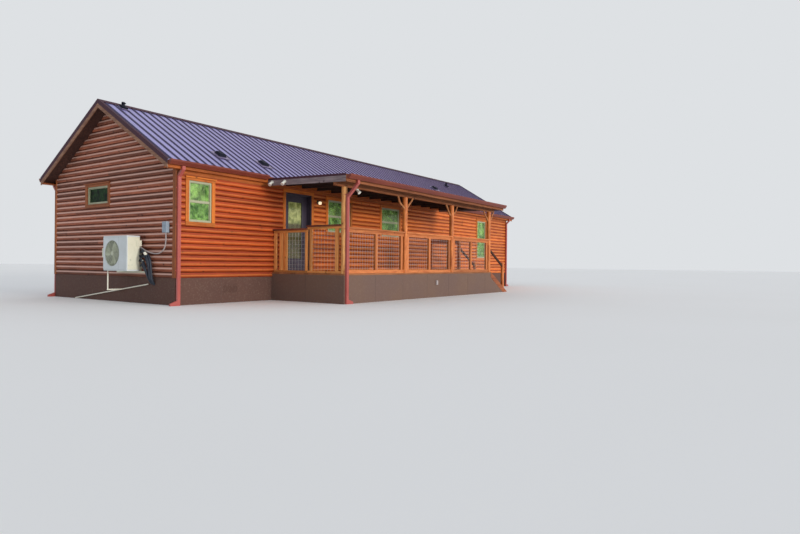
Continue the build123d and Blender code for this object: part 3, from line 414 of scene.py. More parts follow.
def finishes() -> dict[str, bpy.types.Material]:
    """Every finish of the cabin, by its plain name."""
    cedar = dict(face=140.0, roughness=0.5, crest_share=0.45, upper_share=0.5)
    planed = dict(knot_share=0.06, roughness=0.5)
    sawn = dict(grain=Grain.Y, knot_share=0.04, roughness=0.7)
    log = dict(grain=Grain.Z, streak=60.0, stretch=5.0, knot_spacing=260.0, knot_radius=24.0)
    masonry = dict(texture=4.0, roughness=0.8, dust="#93836F", speck=40.0)
    rolled = dict(texture=1.0, relief=0.05, dust_share=0.2)
    folded = dict(texture=1.2, relief=0.06)
    powder = dict(texture=1.2, relief=0.12, speck=25.0)
    kinds = [
        # Half-log cedar siding under a clear orange stain, with painted highlights on the crests, a
        # painted deeper red on the upper curves, and painted shade, near black, in the grooves
        Wood("cedar log siding", "#C4521A", "#92350B", "#3E150A", **cedar, upper="#93392A",
             crest="#DC8444"),
        # The same stain painted lighter for the front right of the door: painted light that offsets the
        # porch roof's shade
        Wood("cedar log siding, painted_lighter", "#E6772F", "#B24E18", "#3E150A", **cedar),
        # The same siding on the gables, painted browner and duller as shade, with a painted reflection of
        # the sky on its upper curves
        Wood("cedar log siding, weathered", "#AC6244", "#7C3F2B", "#2C120C", face=140.0,
             roughness=0.6, gloss=0.35, crest="#E0B8A8", crest_share=0.85, crest_place=0.66,
             groove="#2E1610", spread=0.5),
        # Planed cedar boards, stained like the logs but lighter
        Wood("cedar trim boards", "#DB7C2C", "#B25A1C", "#4A2410", **planed),
        # The frieze and eave boards, painted darker as the shade under the eaves
        Wood("cedar boards along X", "#BE6627", "#934717", "#42200E", grain=Grain.X, knot_share=0.03,
             roughness=0.5),
        # Trim on the gables and at the near corners, painted darker as shade
        Wood("cedar trim boards, weathered", "#AE673C", "#8A4A28", "#35180C", knot_share=0.06,
             roughness=0.6),
        # Pressure-treated pine in the porch, stained a paler orange
        Wood("stained pine lumber", "#D5834A", "#A95A2E", "#56290F", knot_share=0.08),
        # The near end's railing: lumber painted paler to offset its shade, caps painted darker as shade
        Wood("pale pine lumber", "#F0A760", "#C87C3E", "#6A3414", knot_share=0.08),
        Wood("dark rail caps", "#7D4433", "#5F3024", "#32170F", knot_share=0.05, roughness=0.5),
        # Handrails painted near black as shade
        Wood("dark handrails", "#57301F", "#3C2015", "#200F09", knot_share=0.05, roughness=0.6,
             gloss=0.2),
        Wood("dark beam along X", "#A2623A", "#743F22", "#35180B", grain=Grain.X, knot_share=0.04),
        Wood("stringer boards along X", "#A85E33", "#824223", "#35180B", grain=Grain.X, knot_share=0.04),
        Wood("deck boards", "#A8714A", "#82502F", "#3E2110", knot_share=0.08, roughness=0.7),
        # Peeled pine logs: pale yellow sapwood mottled with brown inner bark
        Wood("peeled pine logs", "#F6B670", "#C07A42", "#56300F", **log, knot_share=0.5, roughness=0.5),
        # The same logs where the stain took well
        Wood("stained pine logs", "#E88A44", "#B05A28", "#4A220E", **log, knot_share=0.4,
             roughness=0.45),
        Wood("peeled branches", "#C88856", "#96532C", "#4A2610", grain=Grain.X, stretch=3.0,
             knot_spacing=150.0, knot_share=0.3),
        # Sawn framing and sheathing, unfinished
        Wood("framing pine along X", "#CBA877", "#AF8A5A", "#6B4524", grain=Grain.X, knot_share=0.05,
             roughness=0.75),
        # Soffit boards and rafters under a dark brown stain
        Wood("dark soffit boards", "#5A3A30", "#3E2620", "#20110D", **sawn),
        Wood("dark rafters", "#46302A", "#2E1F1C", "#180F0D", **sawn),
        # Boards along the roof's edges, greyed by rain
        Wood("gable rake boards", "#A57A60", "#7C5644", "#33201A", grain=Grain.Y, knot_share=0.03,
             roughness=0.65),
        Wood("porch fascia boards", "#978889", "#6E6063", "#3C3234", grain=Grain.Y, knot_share=0.03,
             roughness=0.65),
        # Painted masonry and boards of the foundation: purple-brown, splashed near the ground
        Coating("foundation paint", "#54372E", "#61443A", **masonry, blotch=900.0, relief=0.7,
                dust_share=0.3),
        Coating("skirting paint", "#664E45", "#735948", **masonry, blotch=1400.0, relief=0.6,
                dust_share=0.25),
        Coating("joint sealant", "#4E3E3A", "#5B4A43", blotch=300.0, roughness=0.8),
        # Baked paint on rolled steel: the roof's pans carry a painted reflection of the sky and painted
        # shade beside the ribs; its folded trims stay dark
        RibbedSteel("plum roof steel", start=0.0),
        RibbedSteel("plum porch roof steel", start=-1.815),
        Coating("plum trim steel", "#3C1E2C", "#4C2A3A", **folded, blotch=500.0, roughness=0.6,
                gloss=0.25),
        Coating("plum flashing", "#7B6F93", "#93829A", **folded, blotch=200.0, roughness=0.4,
                metallic=0.2),
        Coating("maroon gutter aluminium", "#6C2E22", "#803E2C", **rolled, blotch=700.0,
                roughness=0.42, gloss=0.3, dust="#5A463C"),
        Coating("maroon downspout aluminium", "#A64A42", "#B65C52", **rolled, blotch=600.0,
                roughness=0.35, coat=0.25, dust="#7D4A3E"),
        Coating("black vent steel", "#0D101F", "#161A2B", blotch=120.0, texture=1.5, relief=0.15,
                roughness=0.65, gloss=0.2, dust_share=0.06),
        # Extruded vinyl: almond, slightly soiled in its corners
        Coating("almond vinyl", "#A9AA8B", "#989A7B", blotch=200.0, texture=3.0, relief=0.05,
                dust="#75735A", dust_share=0.2),
        Coating("blind slats", "#F0E9C6", "#E0D9B4", blotch=300.0, texture=3.0, relief=0.05,
                roughness=0.5),
        Coating("purple-black door paint", "#352C3A", "#423849", blotch=500.0, texture=1.5,
                relief=0.12, roughness=0.4, coat=0.3),
        Coating("bronze hardware", "#5A5048", "#6B6056", blotch=30.0, texture=1.0, relief=0.1,
                roughness=0.4, metallic=0.8),
        # Powder-coated sheet steel of the outdoor unit: its front plate painted a cool white as shade, its
        # body a warm cream as painted sunlight
        Coating("unit powder coat", "#D3D9DA", "#C8CECC", **powder, dust="#8E8B7C"),
        Coating("unit powder coat, painted_sunlit", "#DEDCC6", "#D2CFB6", **powder, dust="#8E8B6C",
                dust_share=0.2),
        # Its moulded plastic, and the boxes, pipes and lamps
        Coating("unit grille plastic", "#C6CAB4", "#B3B79E", blotch=80.0, texture=1.0, relief=0.1,
                roughness=0.5),
        Coating("unit fan plastic", "#A3A98E", "#AEB398", blotch=100.0, roughness=0.5),
        Coating("unit well", "#6E7364", "#7C8070", blotch=150.0, roughness=0.7),
        Coating("grey box steel", "#94A2AF", "#84929E", blotch=90.0, texture=1.5, relief=0.1,
                roughness=0.4),
        # Black foam on the lines: its pale blue specks, given as its dust colour, are painted highlights
        Coating("black pipe foam", "#131A28", "#26303F", blotch=60.0, speck=8.0, texture=3.0,
                relief=0.4, roughness=0.5, dust="#7C8CA0", dust_share=0.35),
        Coating("grey conduit plastic", "#A89E9C", "#978C8A", blotch=90.0, roughness=0.5),
        Coating("white pipe plastic", "#EFEBDA", "#DFDBC6", blotch=250.0, relief=0.06, roughness=0.4,
                dust="#8B7F6C", dust_share=0.3, speck=30.0),
        Coating("white lamp metal", "#DEDCD2", "#CFCCBF", blotch=60.0, roughness=0.4),
        Coating("black lamp iron", "#27211D", "#352D27", blotch=40.0, roughness=0.5, relief=0.2),
        # Galvanised wire and screws, dulled to grey
        Coating("galvanised wire", "#C4C1BC", "#A5A19B", blotch=150.0, texture=1.0, relief=0.1,
                metallic=0.3),
        Coating("roof screws", "#8C88A6", "#77738F", blotch=40.0, roughness=0.4, metallic=0.4),
        # Glass: the green patches are a painted reflection, and the door pane is painted darker below its
        # shade height as a reflection
        Glazing("green window glass", "#A6DA74", "#447036", alpha=0.48, patch=190.0),
        Glazing("bright door glass", "#C4CA82", "#808A50", alpha=0.85, shade_height=2.02),
        Glazing("shaded gable glass", "#24421E", "#05100B", alpha=1.0, patch=110.0, gloss=0.05,
                roughness=0.3),
        Glow("warm lamp glass", "#FFD890", 1.0),
    ]
    return {kind.name: kind.material() for kind in kinds}


@dataclass
class Shape:
    """Points, faces and pattern coordinates gathered into one mesh."""

    points: list[np.ndarray] = field(default_factory=list)
    faces: list[np.ndarray] = field(default_factory=list)
    patterns: list[np.ndarray] = field(default_factory=list)
    count: int = 0

    def skin(self, rings: np.ndarray, along: np.ndarray, around: np.ndarray,
             loop: bool = False) -> None:
        """Joins closed rings of points with four-sided faces, and closes the two ends.

        Args:
            rings: Points, as rings × points in a ring × 3.
            along: Pattern coordinate of each ring.
            around: Pattern coordinate of each point of a ring, with one more for its close.
            loop: True where the last ring meets the first, so that there are no ends.
        """
        rows, columns = rings.shape[:2]
        row = np.arange(rows if loop else rows - 1)[:, None]
        column = np.arange(columns)[None, :]
        here = row * columns + column
        beside = row * columns + (column + 1) % columns
        after = (row + 1) % rows * columns
        quads = np.stack([here, beside, after + (column + 1) % columns, after + column], -1)
        far = np.append(along, along[-1])[row + 1] if loop else along[row + 1]
        blank = np.zeros_like(here, float)
        pattern = np.stack([np.stack([first + blank, around[column + step] + blank], -1)
                            for first, step in ((along[row], 0), (along[row], 1), (far, 1), (far, 0))],
                           -2)
        groups, patterns = [quads.reshape(-1, 4)], [pattern.reshape(-1, 4, 2)]
        if not loop:
            for ring, order in ((0, slice(None, None, -1)), (rows - 1, slice(None))):
                groups.append((ring * columns + np.arange(columns))[order][None])
                flat = np.stack([np.full(columns, along[ring]), around[:columns]], -1)
                patterns.append(flat[order][None])
        self.add(rings.reshape(-1, 3), groups, patterns)

    def add(self, points: np.ndarray, groups: list[np.ndarray], patterns: list[np.ndarray]) -> None:
        """Adds one closed form, turned so that its faces point outwards.

        Args:
            points: The points, n × 3.
            groups: Faces as arrays of point numbers, one array for each count of corners.
            patterns: Pattern coordinates of each corner, in the same order.
        """
        centre = points.mean(0)
        volume = 0.0
        for faces in groups:
            corners = points[faces] - centre
            for second in range(1, faces.shape[1] - 1):
                normal = np.cross(corners[:, second], corners[:, second + 1])
                volume += float((corners[:, 0] * normal).sum())
        turn = slice(None, None, -1) if volume < 0 else slice(None)
        self.points.append(points)
        self.faces += [faces[:, turn] + self.count for faces in groups]
        self.patterns += [pattern[:, turn] for pattern in patterns]
        self.count += len(points)

    def scatter(self, part: "Shape", places: np.ndarray, turn: np.ndarray) -> None:
        """Repeats a small shape at many places.

        Args:
            part: The shape, drawn round the origin.
            places: Where each copy goes, copies × 3.
            turn: How each copy is turned, 3 × 3.
        """
        points = np.concatenate(part.points)
        starts = self.count + np.arange(len(places))[:, None, None] * len(points)
        self.points.append((points @ turn.T + places[:, None]).reshape(-1, 3))
        for faces, pattern in zip(part.faces, part.patterns):
            self.faces.append((faces[None] + starts).reshape(-1, faces.shape[1]))
            self.patterns.append(np.tile(pattern, (len(places), 1, 1)))
        self.count += len(places) * len(points)

    def sweep(self, path: np.ndarray, profile: np.ndarray, across: Vec, seed: float = 0.0) -> None:
        """Carries a closed profile along a path.

        A point is the path's point, plus the profile's first value times the side direction,
        plus its second value times the direction square to the side and the path.

        Args:
            path: Points, n × 3.
            profile: Offsets, m × 2, or n × m × 2 where the profile changes on its way.
            across: A direction that no part of the path follows; the side lies square to it.
            seed: Moves the pattern, so that two like pieces differ.
        """
        profile = np.broadcast_to(profile, (len(path), *profile.shape[-2:]))
        across = np.asarray(across, float)
        tangent = unit(np.gradient(path, axis=0))
        side = unit(across - (tangent @ across)[:, None] * tangent)
        rest = np.cross(tangent, side)
        rings = path[:, None] + profile[..., :1] * side[:, None] + profile[..., 1:] * rest[:, None]
        self.skin(rings, seed * SEED_STEP + travel(path),
                  np.floor(seed) + travel(profile[0], closed=True))

    def rod(self, path: np.ndarray, radius: float) -> None:
        """A straight round wire between two points."""
        line = path[1] - path[0]
        across = (1.0, 0.0, 0.0) if abs(line[0]) < 0.9 * np.linalg.norm(line) else (0.0, 1.0, 0.0)
        self.sweep(path, circle(radius, 6), across)

    def lathe(self, profile: list[tuple[float, float]], foot: Vec, axis: Vec, sides: int) -> None:
        """Turns a profile of radius and height round an axis; its ends are closed flat."""
        axis, outward = outwards(axis, sides)
        profile = np.asarray(profile, float)
        radius, height = profile[:, 0, None, None], profile[:, 1, None, None]
        rings = np.asarray(foot, float) + height * axis + radius * outward
        self.skin(rings, travel(profile), np.linspace(0.0, 1.0, sides + 1))

    def hoop(self, centre: Vec, axis: Vec, radius: float, wire: float, sides: int) -> None:
        """A ring of round wire: a small circle carried round a large one."""
        axis, outward = outwards(axis, sides)
        offsets = circle(wire, 6)[None]
        rings = (np.asarray(centre, float) + (radius + offsets[..., :1]) * outward[:, None]
                 + offsets[..., 1:] * axis)
        self.skin(rings, np.linspace(0.0, 1.0, sides), np.linspace(0.0, 0.1, 7), loop=True)

    def board(self, low: Vec, high: Vec, seed: float = 0.0, edge: float = 0.003) -> None:
        """A board between two corners, with its grain along its longest side and eased edges."""
        low, high = np.asarray(low, float), np.asarray(high, float)
        size = high - low
        axis = int(np.argmax(size))
        order = np.roll(range(3), -axis)
        along, side, other = np.eye(3)[order]
        start = (low + high) / 2 - along * size[axis] / 2
        self.plank(np.stack([start, start + along * size[axis]]), side, other,
                   *size[order[1:]] / 2, seed, edge)

    def plank(self, path: np.ndarray, side: np.ndarray, other: np.ndarray, half: float,
              half_other: float, seed: float, edge: float = 0.003) -> None:
        """A board along a straight path, with eased edges.

        Args:
            path: The middle of its two ends, 2 × 3.
            side: One direction square to the path.
            other: The other direction.
            half: Half its size along the side.
            half_other: Half its size along the other direction.
            seed: Moves the pattern, so that two boards differ.
            edge: How much each edge is eased.
        """
        eased = min(edge, LARGEST_EASE * min(half, half_other))
        corner = np.array([[half, half_other - eased], [half - eased, half_other]])
        ring = np.concatenate([corner, corner[::-1] * (-1, 1), -corner, corner[::-1] * (1, -1)])
        rings = path[:, None] + ring[:, :1] * side + ring[:, 1:] * other
        self.skin(rings, seed * SEED_STEP + travel(path),
                  np.floor(seed) + travel(ring, closed=True))

    def build(self, name: str, finish: str, slot: str, replaces: str = "", body: str = "house",
              bend: float = 35.0) -> None:
        """Makes the object, dresses it and ties it to its body.

        Args:
            name: The piece's name.
            finish: The name of its finish.
            slot: The record's material slot; not used.
            replaces: The CAD node that it stands for, or nothing.
            body: The body that it rides on.
            bend: The angle in degrees past which an edge stays sharp.
        """
        points = np.concatenate(self.points).astype(np.float32)
        sizes = np.concatenate([np.full(len(faces), faces.shape[1]) for faces in self.faces])
        corners = np.concatenate([faces.ravel() for faces in self.faces])
        mesh = bpy.data.meshes.new(name)
        mesh.vertices.add(len(points))
        mesh.vertices.foreach_set("co", points.ravel())
        mesh.loops.add(len(corners))
        mesh.loops.foreach_set("vertex_index", corners.astype(np.int32))
        mesh.polygons.add(len(sizes))
        starts = np.concatenate([[0], np.cumsum(sizes)[:-1]])
        mesh.polygons.foreach_set("loop_start", starts.astype(np.int32))
        mesh.polygons.foreach_set("use_smooth", np.ones(len(sizes), bool))
        mesh.update(calc_edges=True)
        pattern = mesh.uv_layers.new(name="pattern")
        coordinates = np.concatenate([part.reshape(-1, 2) for part in self.patterns])
        pattern.uv.foreach_set("vector", coordinates.astype(np.float32).ravel())
        mesh.set_sharp_from_angle(angle=radians(bend))
        mesh.validate()
        mesh.materials.append(FINISHES[finish])
        piece = link(name, mesh)
        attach(piece, body)
        if replaces:
            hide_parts(replaces)
        LOG.info("%s: %d faces", name, len(sizes))


def link(name: str, data: bpy.types.ID) -> bpy.types.Object:
    """Puts a new object with its data into the scene."""
    thing = bpy.data.objects.new(name, data)
    bpy.context.scene.collection.objects.link(thing)
    return thing


def unit(vectors: np.ndarray) -> np.ndarray:
    """The same directions with a length of one."""
    return vectors / np.linalg.norm(vectors, axis=-1, keepdims=True)


def travel(points: np.ndarray, closed: bool = False) -> np.ndarray:
    """The way along straight runs from the first point to each, and back to it if closed."""
    steps = np.diff(points, axis=0, append=points[:int(closed)])
    return np.concatenate([[0.0], np.cumsum(np.linalg.norm(steps, axis=1))])


def outwards(axis: Vec, sides: int) -> tuple[np.ndarray, np.ndarray]:
    """An axis of length one, and even directions round it: cosine and sine of the turn."""
    axis = unit(np.asarray(axis, float))
    across = unit(np.cross(axis, UP if abs(axis[2]) < 0.9 else (1.0, 0.0, 0.0)))
    turn = np.linspace(0.0, 2 * pi, sides, endpoint=False)[:, None]
    return axis, np.cos(turn) * across + np.sin(turn) * np.cross(axis, across)


def upright(x: float, y: float, low: float, high: float, count: int) -> np.ndarray:
    """Points straight up a line."""
    z = np.linspace(low, high, count)
    return np.stack([np.full(count, x), np.full(count, y), z], -1)


def border(rim: Rim, width: float) -> list[Rim]:
    """The head, foot, left and right boards just inside a rectangle."""
    left, right, foot, head = rim
    sides = [(place, place + width, foot + width, head - width) for place in (left, right - width)]
    return [(left, right, head - width, head), (left, right, foot, foot + width), *sides]


def grown(rim: Rim, margin: float) -> Rim:
    """A rectangle with a margin all round."""
    return tuple(rim + margin * np.array([-1, 1, -1, 1]))


def circle(radius: float, sides: int) -> np.ndarray:
    """Points on a circle: radius times the cosine and the sine of even turns."""
    turn = np.linspace(0.0, 2 * pi, sides, endpoint=False)
    return radius * np.stack([np.cos(turn), np.sin(turn)], -1)


def smooth_path(points: list[Vec], steps: int = 12) -> np.ndarray:
    """A smooth curve through points, each span a cubic with its neighbours' slopes.

    On a span the place is p1 + t (p2 - p0) / 2 + t² (2 p0 - 5 p1 + 4 p2 - p3) / 2
    + t³ (3 p1 - p0 - 3 p2 + p3) / 2.
    """
    row = np.asarray(points, float)
    row = np.concatenate([[2 * row[0] - row[1]], row, [2 * row[-1] - row[-2]]])
    before, here, after, beyond = row[:-3, None], row[1:-2, None], row[2:-1, None], row[3:, None]
    t = np.linspace(0.0, 1.0, steps, endpoint=False)[None, :, None]
    curve = (here + t * (after - before) / 2
             + t ** 2 * (2 * before - 5 * here + 4 * after - beyond) / 2
             + t ** 3 * (3 * here - before - 3 * after + beyond) / 2)
    return np.concatenate([curve.reshape(-1, 3), row[-2:-1]])


def solid_boxes(node: str) -> list[tuple[np.ndarray, np.ndarray]]:
    """The lowest and highest corners of each separate solid of a CAD node, from low X to high."""
    copy = bmesh.new()
    copy.from_mesh(FRAME["nodes"][node].data)
    bmesh.ops.remove_doubles(copy, verts=copy.verts, dist=1e-5)
    seen: set = set()
    boxes = []
    for vertex in copy.verts:
        if vertex in seen:
            continue
        group, reach = [], [vertex]
        seen.add(vertex)
        while reach:
            here = reach.pop()
            group.append(tuple(here.co))
            for edge in here.link_edges:
                other = edge.other_vert(here)
                if other not in seen:
                    seen.add(other)
                    reach.append(other)
        boxes.append((np.min(group, 0), np.max(group, 0)))
    copy.free()
    return sorted(boxes, key=lambda box: tuple(box[0]))


def dress(finish: str, *nodes: str) -> None:
    """Gives a finish to CAD nodes that stay as they are."""
    for node in nodes:
        slots = FRAME["nodes"][node].data.materials
        slots.clear()
        slots.append(FINISHES[finish])
        LOG.info("%s: dressed as %s", node, finish)


@dataclass(frozen=True)
class Side:
    """One side of the house: a runs along it, out stands off its framing line."""

    origin: np.ndarray
    along: np.ndarray
    out: np.ndarray

    def place(self, a: np.ndarray, out: np.ndarray, z: np.ndarray) -> np.ndarray:
        """Points of the frame: the origin plus a, out and z times their directions."""
        a, out, z = np.broadcast_arrays(a, out, z)
        return self.origin + a[..., None] * self.along + out[..., None] * self.out + z[..., None] * UP

    def board(self, shape: Shape, a: tuple[float, float], out: tuple[float, float],
              z: tuple[float, float], seed: float, edge: float = 0.003) -> None:
        """A board given by its reach along, off and up the side."""
        ends = self.place(np.array(a), np.array(out), np.array(z))
        shape.board(ends.min(0), ends.max(0), seed, edge)


class House:
    """Main lines of the house, read from the frame."""

    roof_angle: float = radians(31.0)
    corner_width: float = 0.095
    corner_out: float = 0.042
    casing: float = 0.089

    def __init__(self) -> None:
        """Reads the lines from the floor, the frieze, the roof and the window frames."""
        low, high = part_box("floor_platform")
        self.near, self.far, self.width = low.x, high.x, high.y
        self.foot, self.deck = low.z, high.z
        self.ridge_y = self.width / 2
        self.slope = tan(self.roof_angle)
        self.frieze_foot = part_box("frieze_boards")[0].z
        self.eave_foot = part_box("eave_boards")[0].z
        deck_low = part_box("roof_deck_front")[0]
        self.ridge_under = deck_low.z + (self.ridge_y - deck_low.y) * self.slope
        self.inset = self.corner_width - self.corner_out
        along, out = np.array([1.0, 0.0, 0.0]), np.array([0.0, 1.0, 0.0])
        self.sides = {
            "front": Side(0.0 * out, along, -out),
            "back": Side(self.width * out, along, out),
            "near": Side(self.near * along, out, -along),
            "far": Side(self.far * along, out, along),
        }
        self.windows = {name: [] for name in self.sides}
        for box in solid_boxes("window_frames"):
            name, rim = self.place(*box)
            self.windows[name].append(rim)
        low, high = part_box("door_head_jamb")
        self.door = (low.x, high.x, high.z)

    def place(self, low: np.ndarray, high: np.ndarray) -> tuple[str, Rim]:
        """The side of the house that a window's box stands in, and its rectangle there."""
        x, y = (low + high)[:2] / 2
        gable = x < self.near + 0.2 or x > self.far - 0.2
        name = ("near" if x < 0 else "far") if gable else ("front" if y < self.ridge_y else "back")
        return name, (low[int(gable)], high[int(gable)], low[2], high[2])


@dataclass
class LogSiding:
    """Courses of half-log siding, cut round the casings and butted end to end."""

    house: House
    course: float = 0.127
    crest: float = 0.038
    groove: float = 0.014
    joint: float = 0.009
    butt: float = 0.003
    longest: float = 4.9
    shortest: float = 0.02
    lowest: float = 0.008
    bow: float = 0.0015
    bow_step: float = 0.6
    face_points: int = 15

    def face(self, phase: np.ndarray) -> np.ndarray:
        """How far a log stands out: a circle's arc from groove to crest, dropped at both edges."""
        swell = self.crest - self.groove
        radius = ((self.course / 2) ** 2 + swell ** 2) / (2 * swell)
        arc = np.sqrt(radius ** 2 - (self.course * (phase - 0.5)) ** 2) - (radius - swell)
        edge = np.clip(1.0 - np.minimum(phase, 1.0 - phase) / 0.06, 0.0, 1.0)
        return self.groove + arc - self.joint * edge ** 2

    def log(self, shape: Shape, side: Side, ends: tuple[float, float], gable: bool,
            z_range: tuple[float, float], foot: float, seed: int) -> None:
        """One length of log siding; on a gable its ends keep under the roof.

        Args:
            shape: The shape that it is added to.
            side: The side of the house that it clads.
            ends: Where it starts and stops.
            gable: True where the side is a gable.
            z_range: Its lowest and highest heights.
            foot: The foot of its course.
            seed: Its number, which sets its pattern and its slight bow.
        """
        z = np.linspace(*z_range, self.face_points)
        out = self.face((z - foot) / self.course)
        ring_z = np.concatenate([z, z[[-1, 0]]])
        ring_out = np.concatenate([out, [0.001, 0.001]])
        reach = (self.house.ridge_under - ring_z) / self.house.slope if gable else np.inf
        first, last = (np.clip(end + 0.0 * ring_z, self.house.ridge_y - reach, self.house.ridge_y + reach)
                       for end in ends)
        part = np.linspace(0.0, 1.0, max(2, int((last - first).max() / self.bow_step) + 1))[:, None]
        a = first + (last - first) * part
        bow = self.bow * np.sin(2.1 * a + 5.3 * seed) * (ring_out > self.groove)
        ring = np.stack([ring_z, ring_out], -1)
        foot_gap = 0.14 * (z_range[0] - foot) / self.course
        around = seed + foot_gap + travel(ring, closed=True)
        shape.skin(side.place(a, ring_out + bow - self.bow, ring_z),
                   seed * 1.37 + a.mean(1), np.minimum(around, seed + 0.99))

    def stretches(self, course: Rim, blocks: list[Rim]) -> list[Rim]:
        """Cuts one course round what stands in its way.

        Args:
            course: The start, stop, foot and top of the course.
            blocks: The same of each obstacle.

        Returns:
            The same of each stretch that is left.
        """
        pieces = [course]
        for left, right, foot, top in blocks:
            cut = []
            for start, stop, lower, upper in pieces:
                if left >= stop or right <= start or foot >= upper or top <= lower:
                    cut.append((start, stop, lower, upper))
                    continue
                middle = (max(start, left), min(stop, right))
                cut += [(start, middle[0], lower, upper), (middle[1], stop, lower, upper),
                        (*middle, lower, foot), (*middle, top, upper)]
            pieces = [piece for piece in cut
                      if piece[1] - piece[0] > self.shortest and piece[3] - piece[2] > self.lowest]
        return sorted(pieces)

    def clad(self, shapes: tuple[Shape, Shape], name: str, draw: np.random.Generator,
             seed: int) -> int:
        """Clads one side.

        Args:
            shapes: The shape for the front's logs left of its door, and the one for all others.
            name: The side.
            draw: Draws the places of the butt joints.
            seed: The number of the last log before it.

        Returns:
            The number of this side's last log.
        """
        house, side = self.house, self.house.sides[name]
        gable = name in ("near", "far")
        low, high, top = house.near + house.inset, house.far - house.inset, house.frieze_foot
        if gable:
            low, high, top = house.inset, house.width - house.inset, house.ridge_under - 0.03
        blocks = [grown(rim, house.casing) for rim in house.windows[name]]
        if name == "front":
            left, right, head = house.door
            blocks.append((left - house.casing, right + house.casing, house.deck, head + house.casing))
            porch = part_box("porch_deck")
            blocks.append((porch[0].x, porch[1].x, porch[0].z, porch[1].z))
        for foot in house.foot + self.course * np.arange(int((top - house.foot) / self.course) + 1):
            course_top = min(foot + self.course, top)
            if course_top - foot < self.lowest:
                continue
            for start, stop, lower, upper in self.stretches((low, high, foot, course_top), blocks):
                ends = [start]
                while stop - ends[-1] > self.longest:
                    ends.append(ends[-1] + draw.uniform(0.5, 0.95) * self.longest)
                ends.append(stop)
                for first, last in zip(ends, ends[1:]):
                    seed += 1
                    inner = last - (self.butt if last != stop else 0.0)
                    left_of_door = name == "front" and first < house.door[0] - 0.2
                    self.log(shapes[0 if left_of_door else 1], side, (first, inner), gable,
                             (lower, upper), foot, seed)
        return seed

    def build(self) -> None:
        """Builds the siding of the long sides and the gables."""
        draw, seed, left_front_logs = np.random.default_rng(11), 0, Shape()
        for piece, names, finish, node in (
            # Right of the door, the front's logs get the stain painted lighter, as painted light
            ("sheltered_logs", ("front",), "cedar log siding, painted_lighter", "log_siding_front"),
            ("back_logs", ("back",), "cedar log siding", "log_siding_back"),
            # The gables' logs get the siding painted duller as shade, with a painted sky reflection
            ("gable_logs", ("near", "far"), "cedar log siding, weathered", "log_siding_gables"),
        ):
            shape = Shape()
            for name in names:
                seed = self.clad((left_front_logs, shape), name, draw, seed)
            shape.build(piece, finish, "cedar_siding", node, bend=50.0)
        left_front_logs.build("front_logs", "cedar log siding", "cedar_siding", bend=50.0)


@dataclass
class Trim:
    """Corner boards, casings and their caps, all separate planed boards."""

    house: House
    casing_out: float = 0.05
    cap_out: float = 0.03
    cap_height: float = 0.03
    cap_ear: float = 0.02

    def casing(self, shape: Shape, side: Side, window: Rim, seed: int) -> None:
        """Four boards round a window, with a cap that overhangs the head."""
        wide, out = self.house.casing, (0.0, self.casing_out)
        left, right, _, head = rim = grown(window, wide)
        for number, board in enumerate(border(rim, wide)):
            side.board(shape, board[:2], out, board[2:], seed + number)
        side.board(shape, (left - self.cap_ear, right + self.cap_ear),
                   (self.casing_out, self.casing_out + self.cap_out),
                   (head - self.cap_height, head), seed + 4)

    def corners(self, shapes: tuple[Shape, Shape], names: tuple[str, str]) -> None:
        """The corner boards of two opposite sides; those of the gables butt behind the others.

        Args:
            shapes: The shape for the boards at each end of a side.
            names: The two sides.
        """
        house, out = self.house, (0.0, self.house.corner_out)
        gable = names[0] == "near"
        top = house.ridge_under - house.ridge_y * house.slope if gable else house.eave_foot
        reaches = [(0.0, house.inset), (house.width - house.inset, house.width)]
        if not gable:
            reaches = [(low, low + house.corner_width)
                       for low in (house.near - house.corner_out, house.far - house.inset)]
        for number, name in enumerate(names):
            for end, reach in enumerate(reaches):
                house.sides[name].board(shapes[end], reach, out, (house.foot, top),
                                        400 + 4 * gable + 2 * number + end)

    def build(self) -> None:
        """Builds the corner boards and every casing; those on the gables and at the near corners are
        painted darker as shade.
        """
        house = self.house
        left, right, head = house.door
        # Boards on the gables and at the near corners get the trim painted darker as shade
        painted_shade = Shape()
        for stem, names, finish, nodes, seed in (
            ("", ("front", "back"), "cedar trim boards", ("corner_boards", "casings"), 450),
            ("gable_", ("near", "far"), "cedar trim boards, weathered", ("", ""), 410),
        ):
            corners, frames = painted_shade if stem else Shape(), Shape()
            self.corners((painted_shade, corners), names)
            for name in names:
                for window in house.windows[name]:
                    seed += 5
                    self.casing(frames, house.sides[name], window, seed)
            if not stem:
                low, high, top = left - house.casing, right + house.casing, head + house.casing
                for number, (*reach, foot, upper) in enumerate((
                    (low, left, house.deck, head), (right, high, house.deck, head), (low, high, head, top),
                )):
                    house.sides["front"].board(frames, reach, (0.0, self.casing_out), (foot, upper),
                                               496 + number)
            corners.build(stem + "corner_trim", finish, "cedar_trim", nodes[0])
            frames.build(stem + "casing_boards", finish, "cedar_trim", nodes[1])
        # The frieze and eave boards get the trim painted darker as shade
        dress("cedar boards along X", "eave_boards", "frieze_boards")
        dress("gable rake boards", "rake_boards")


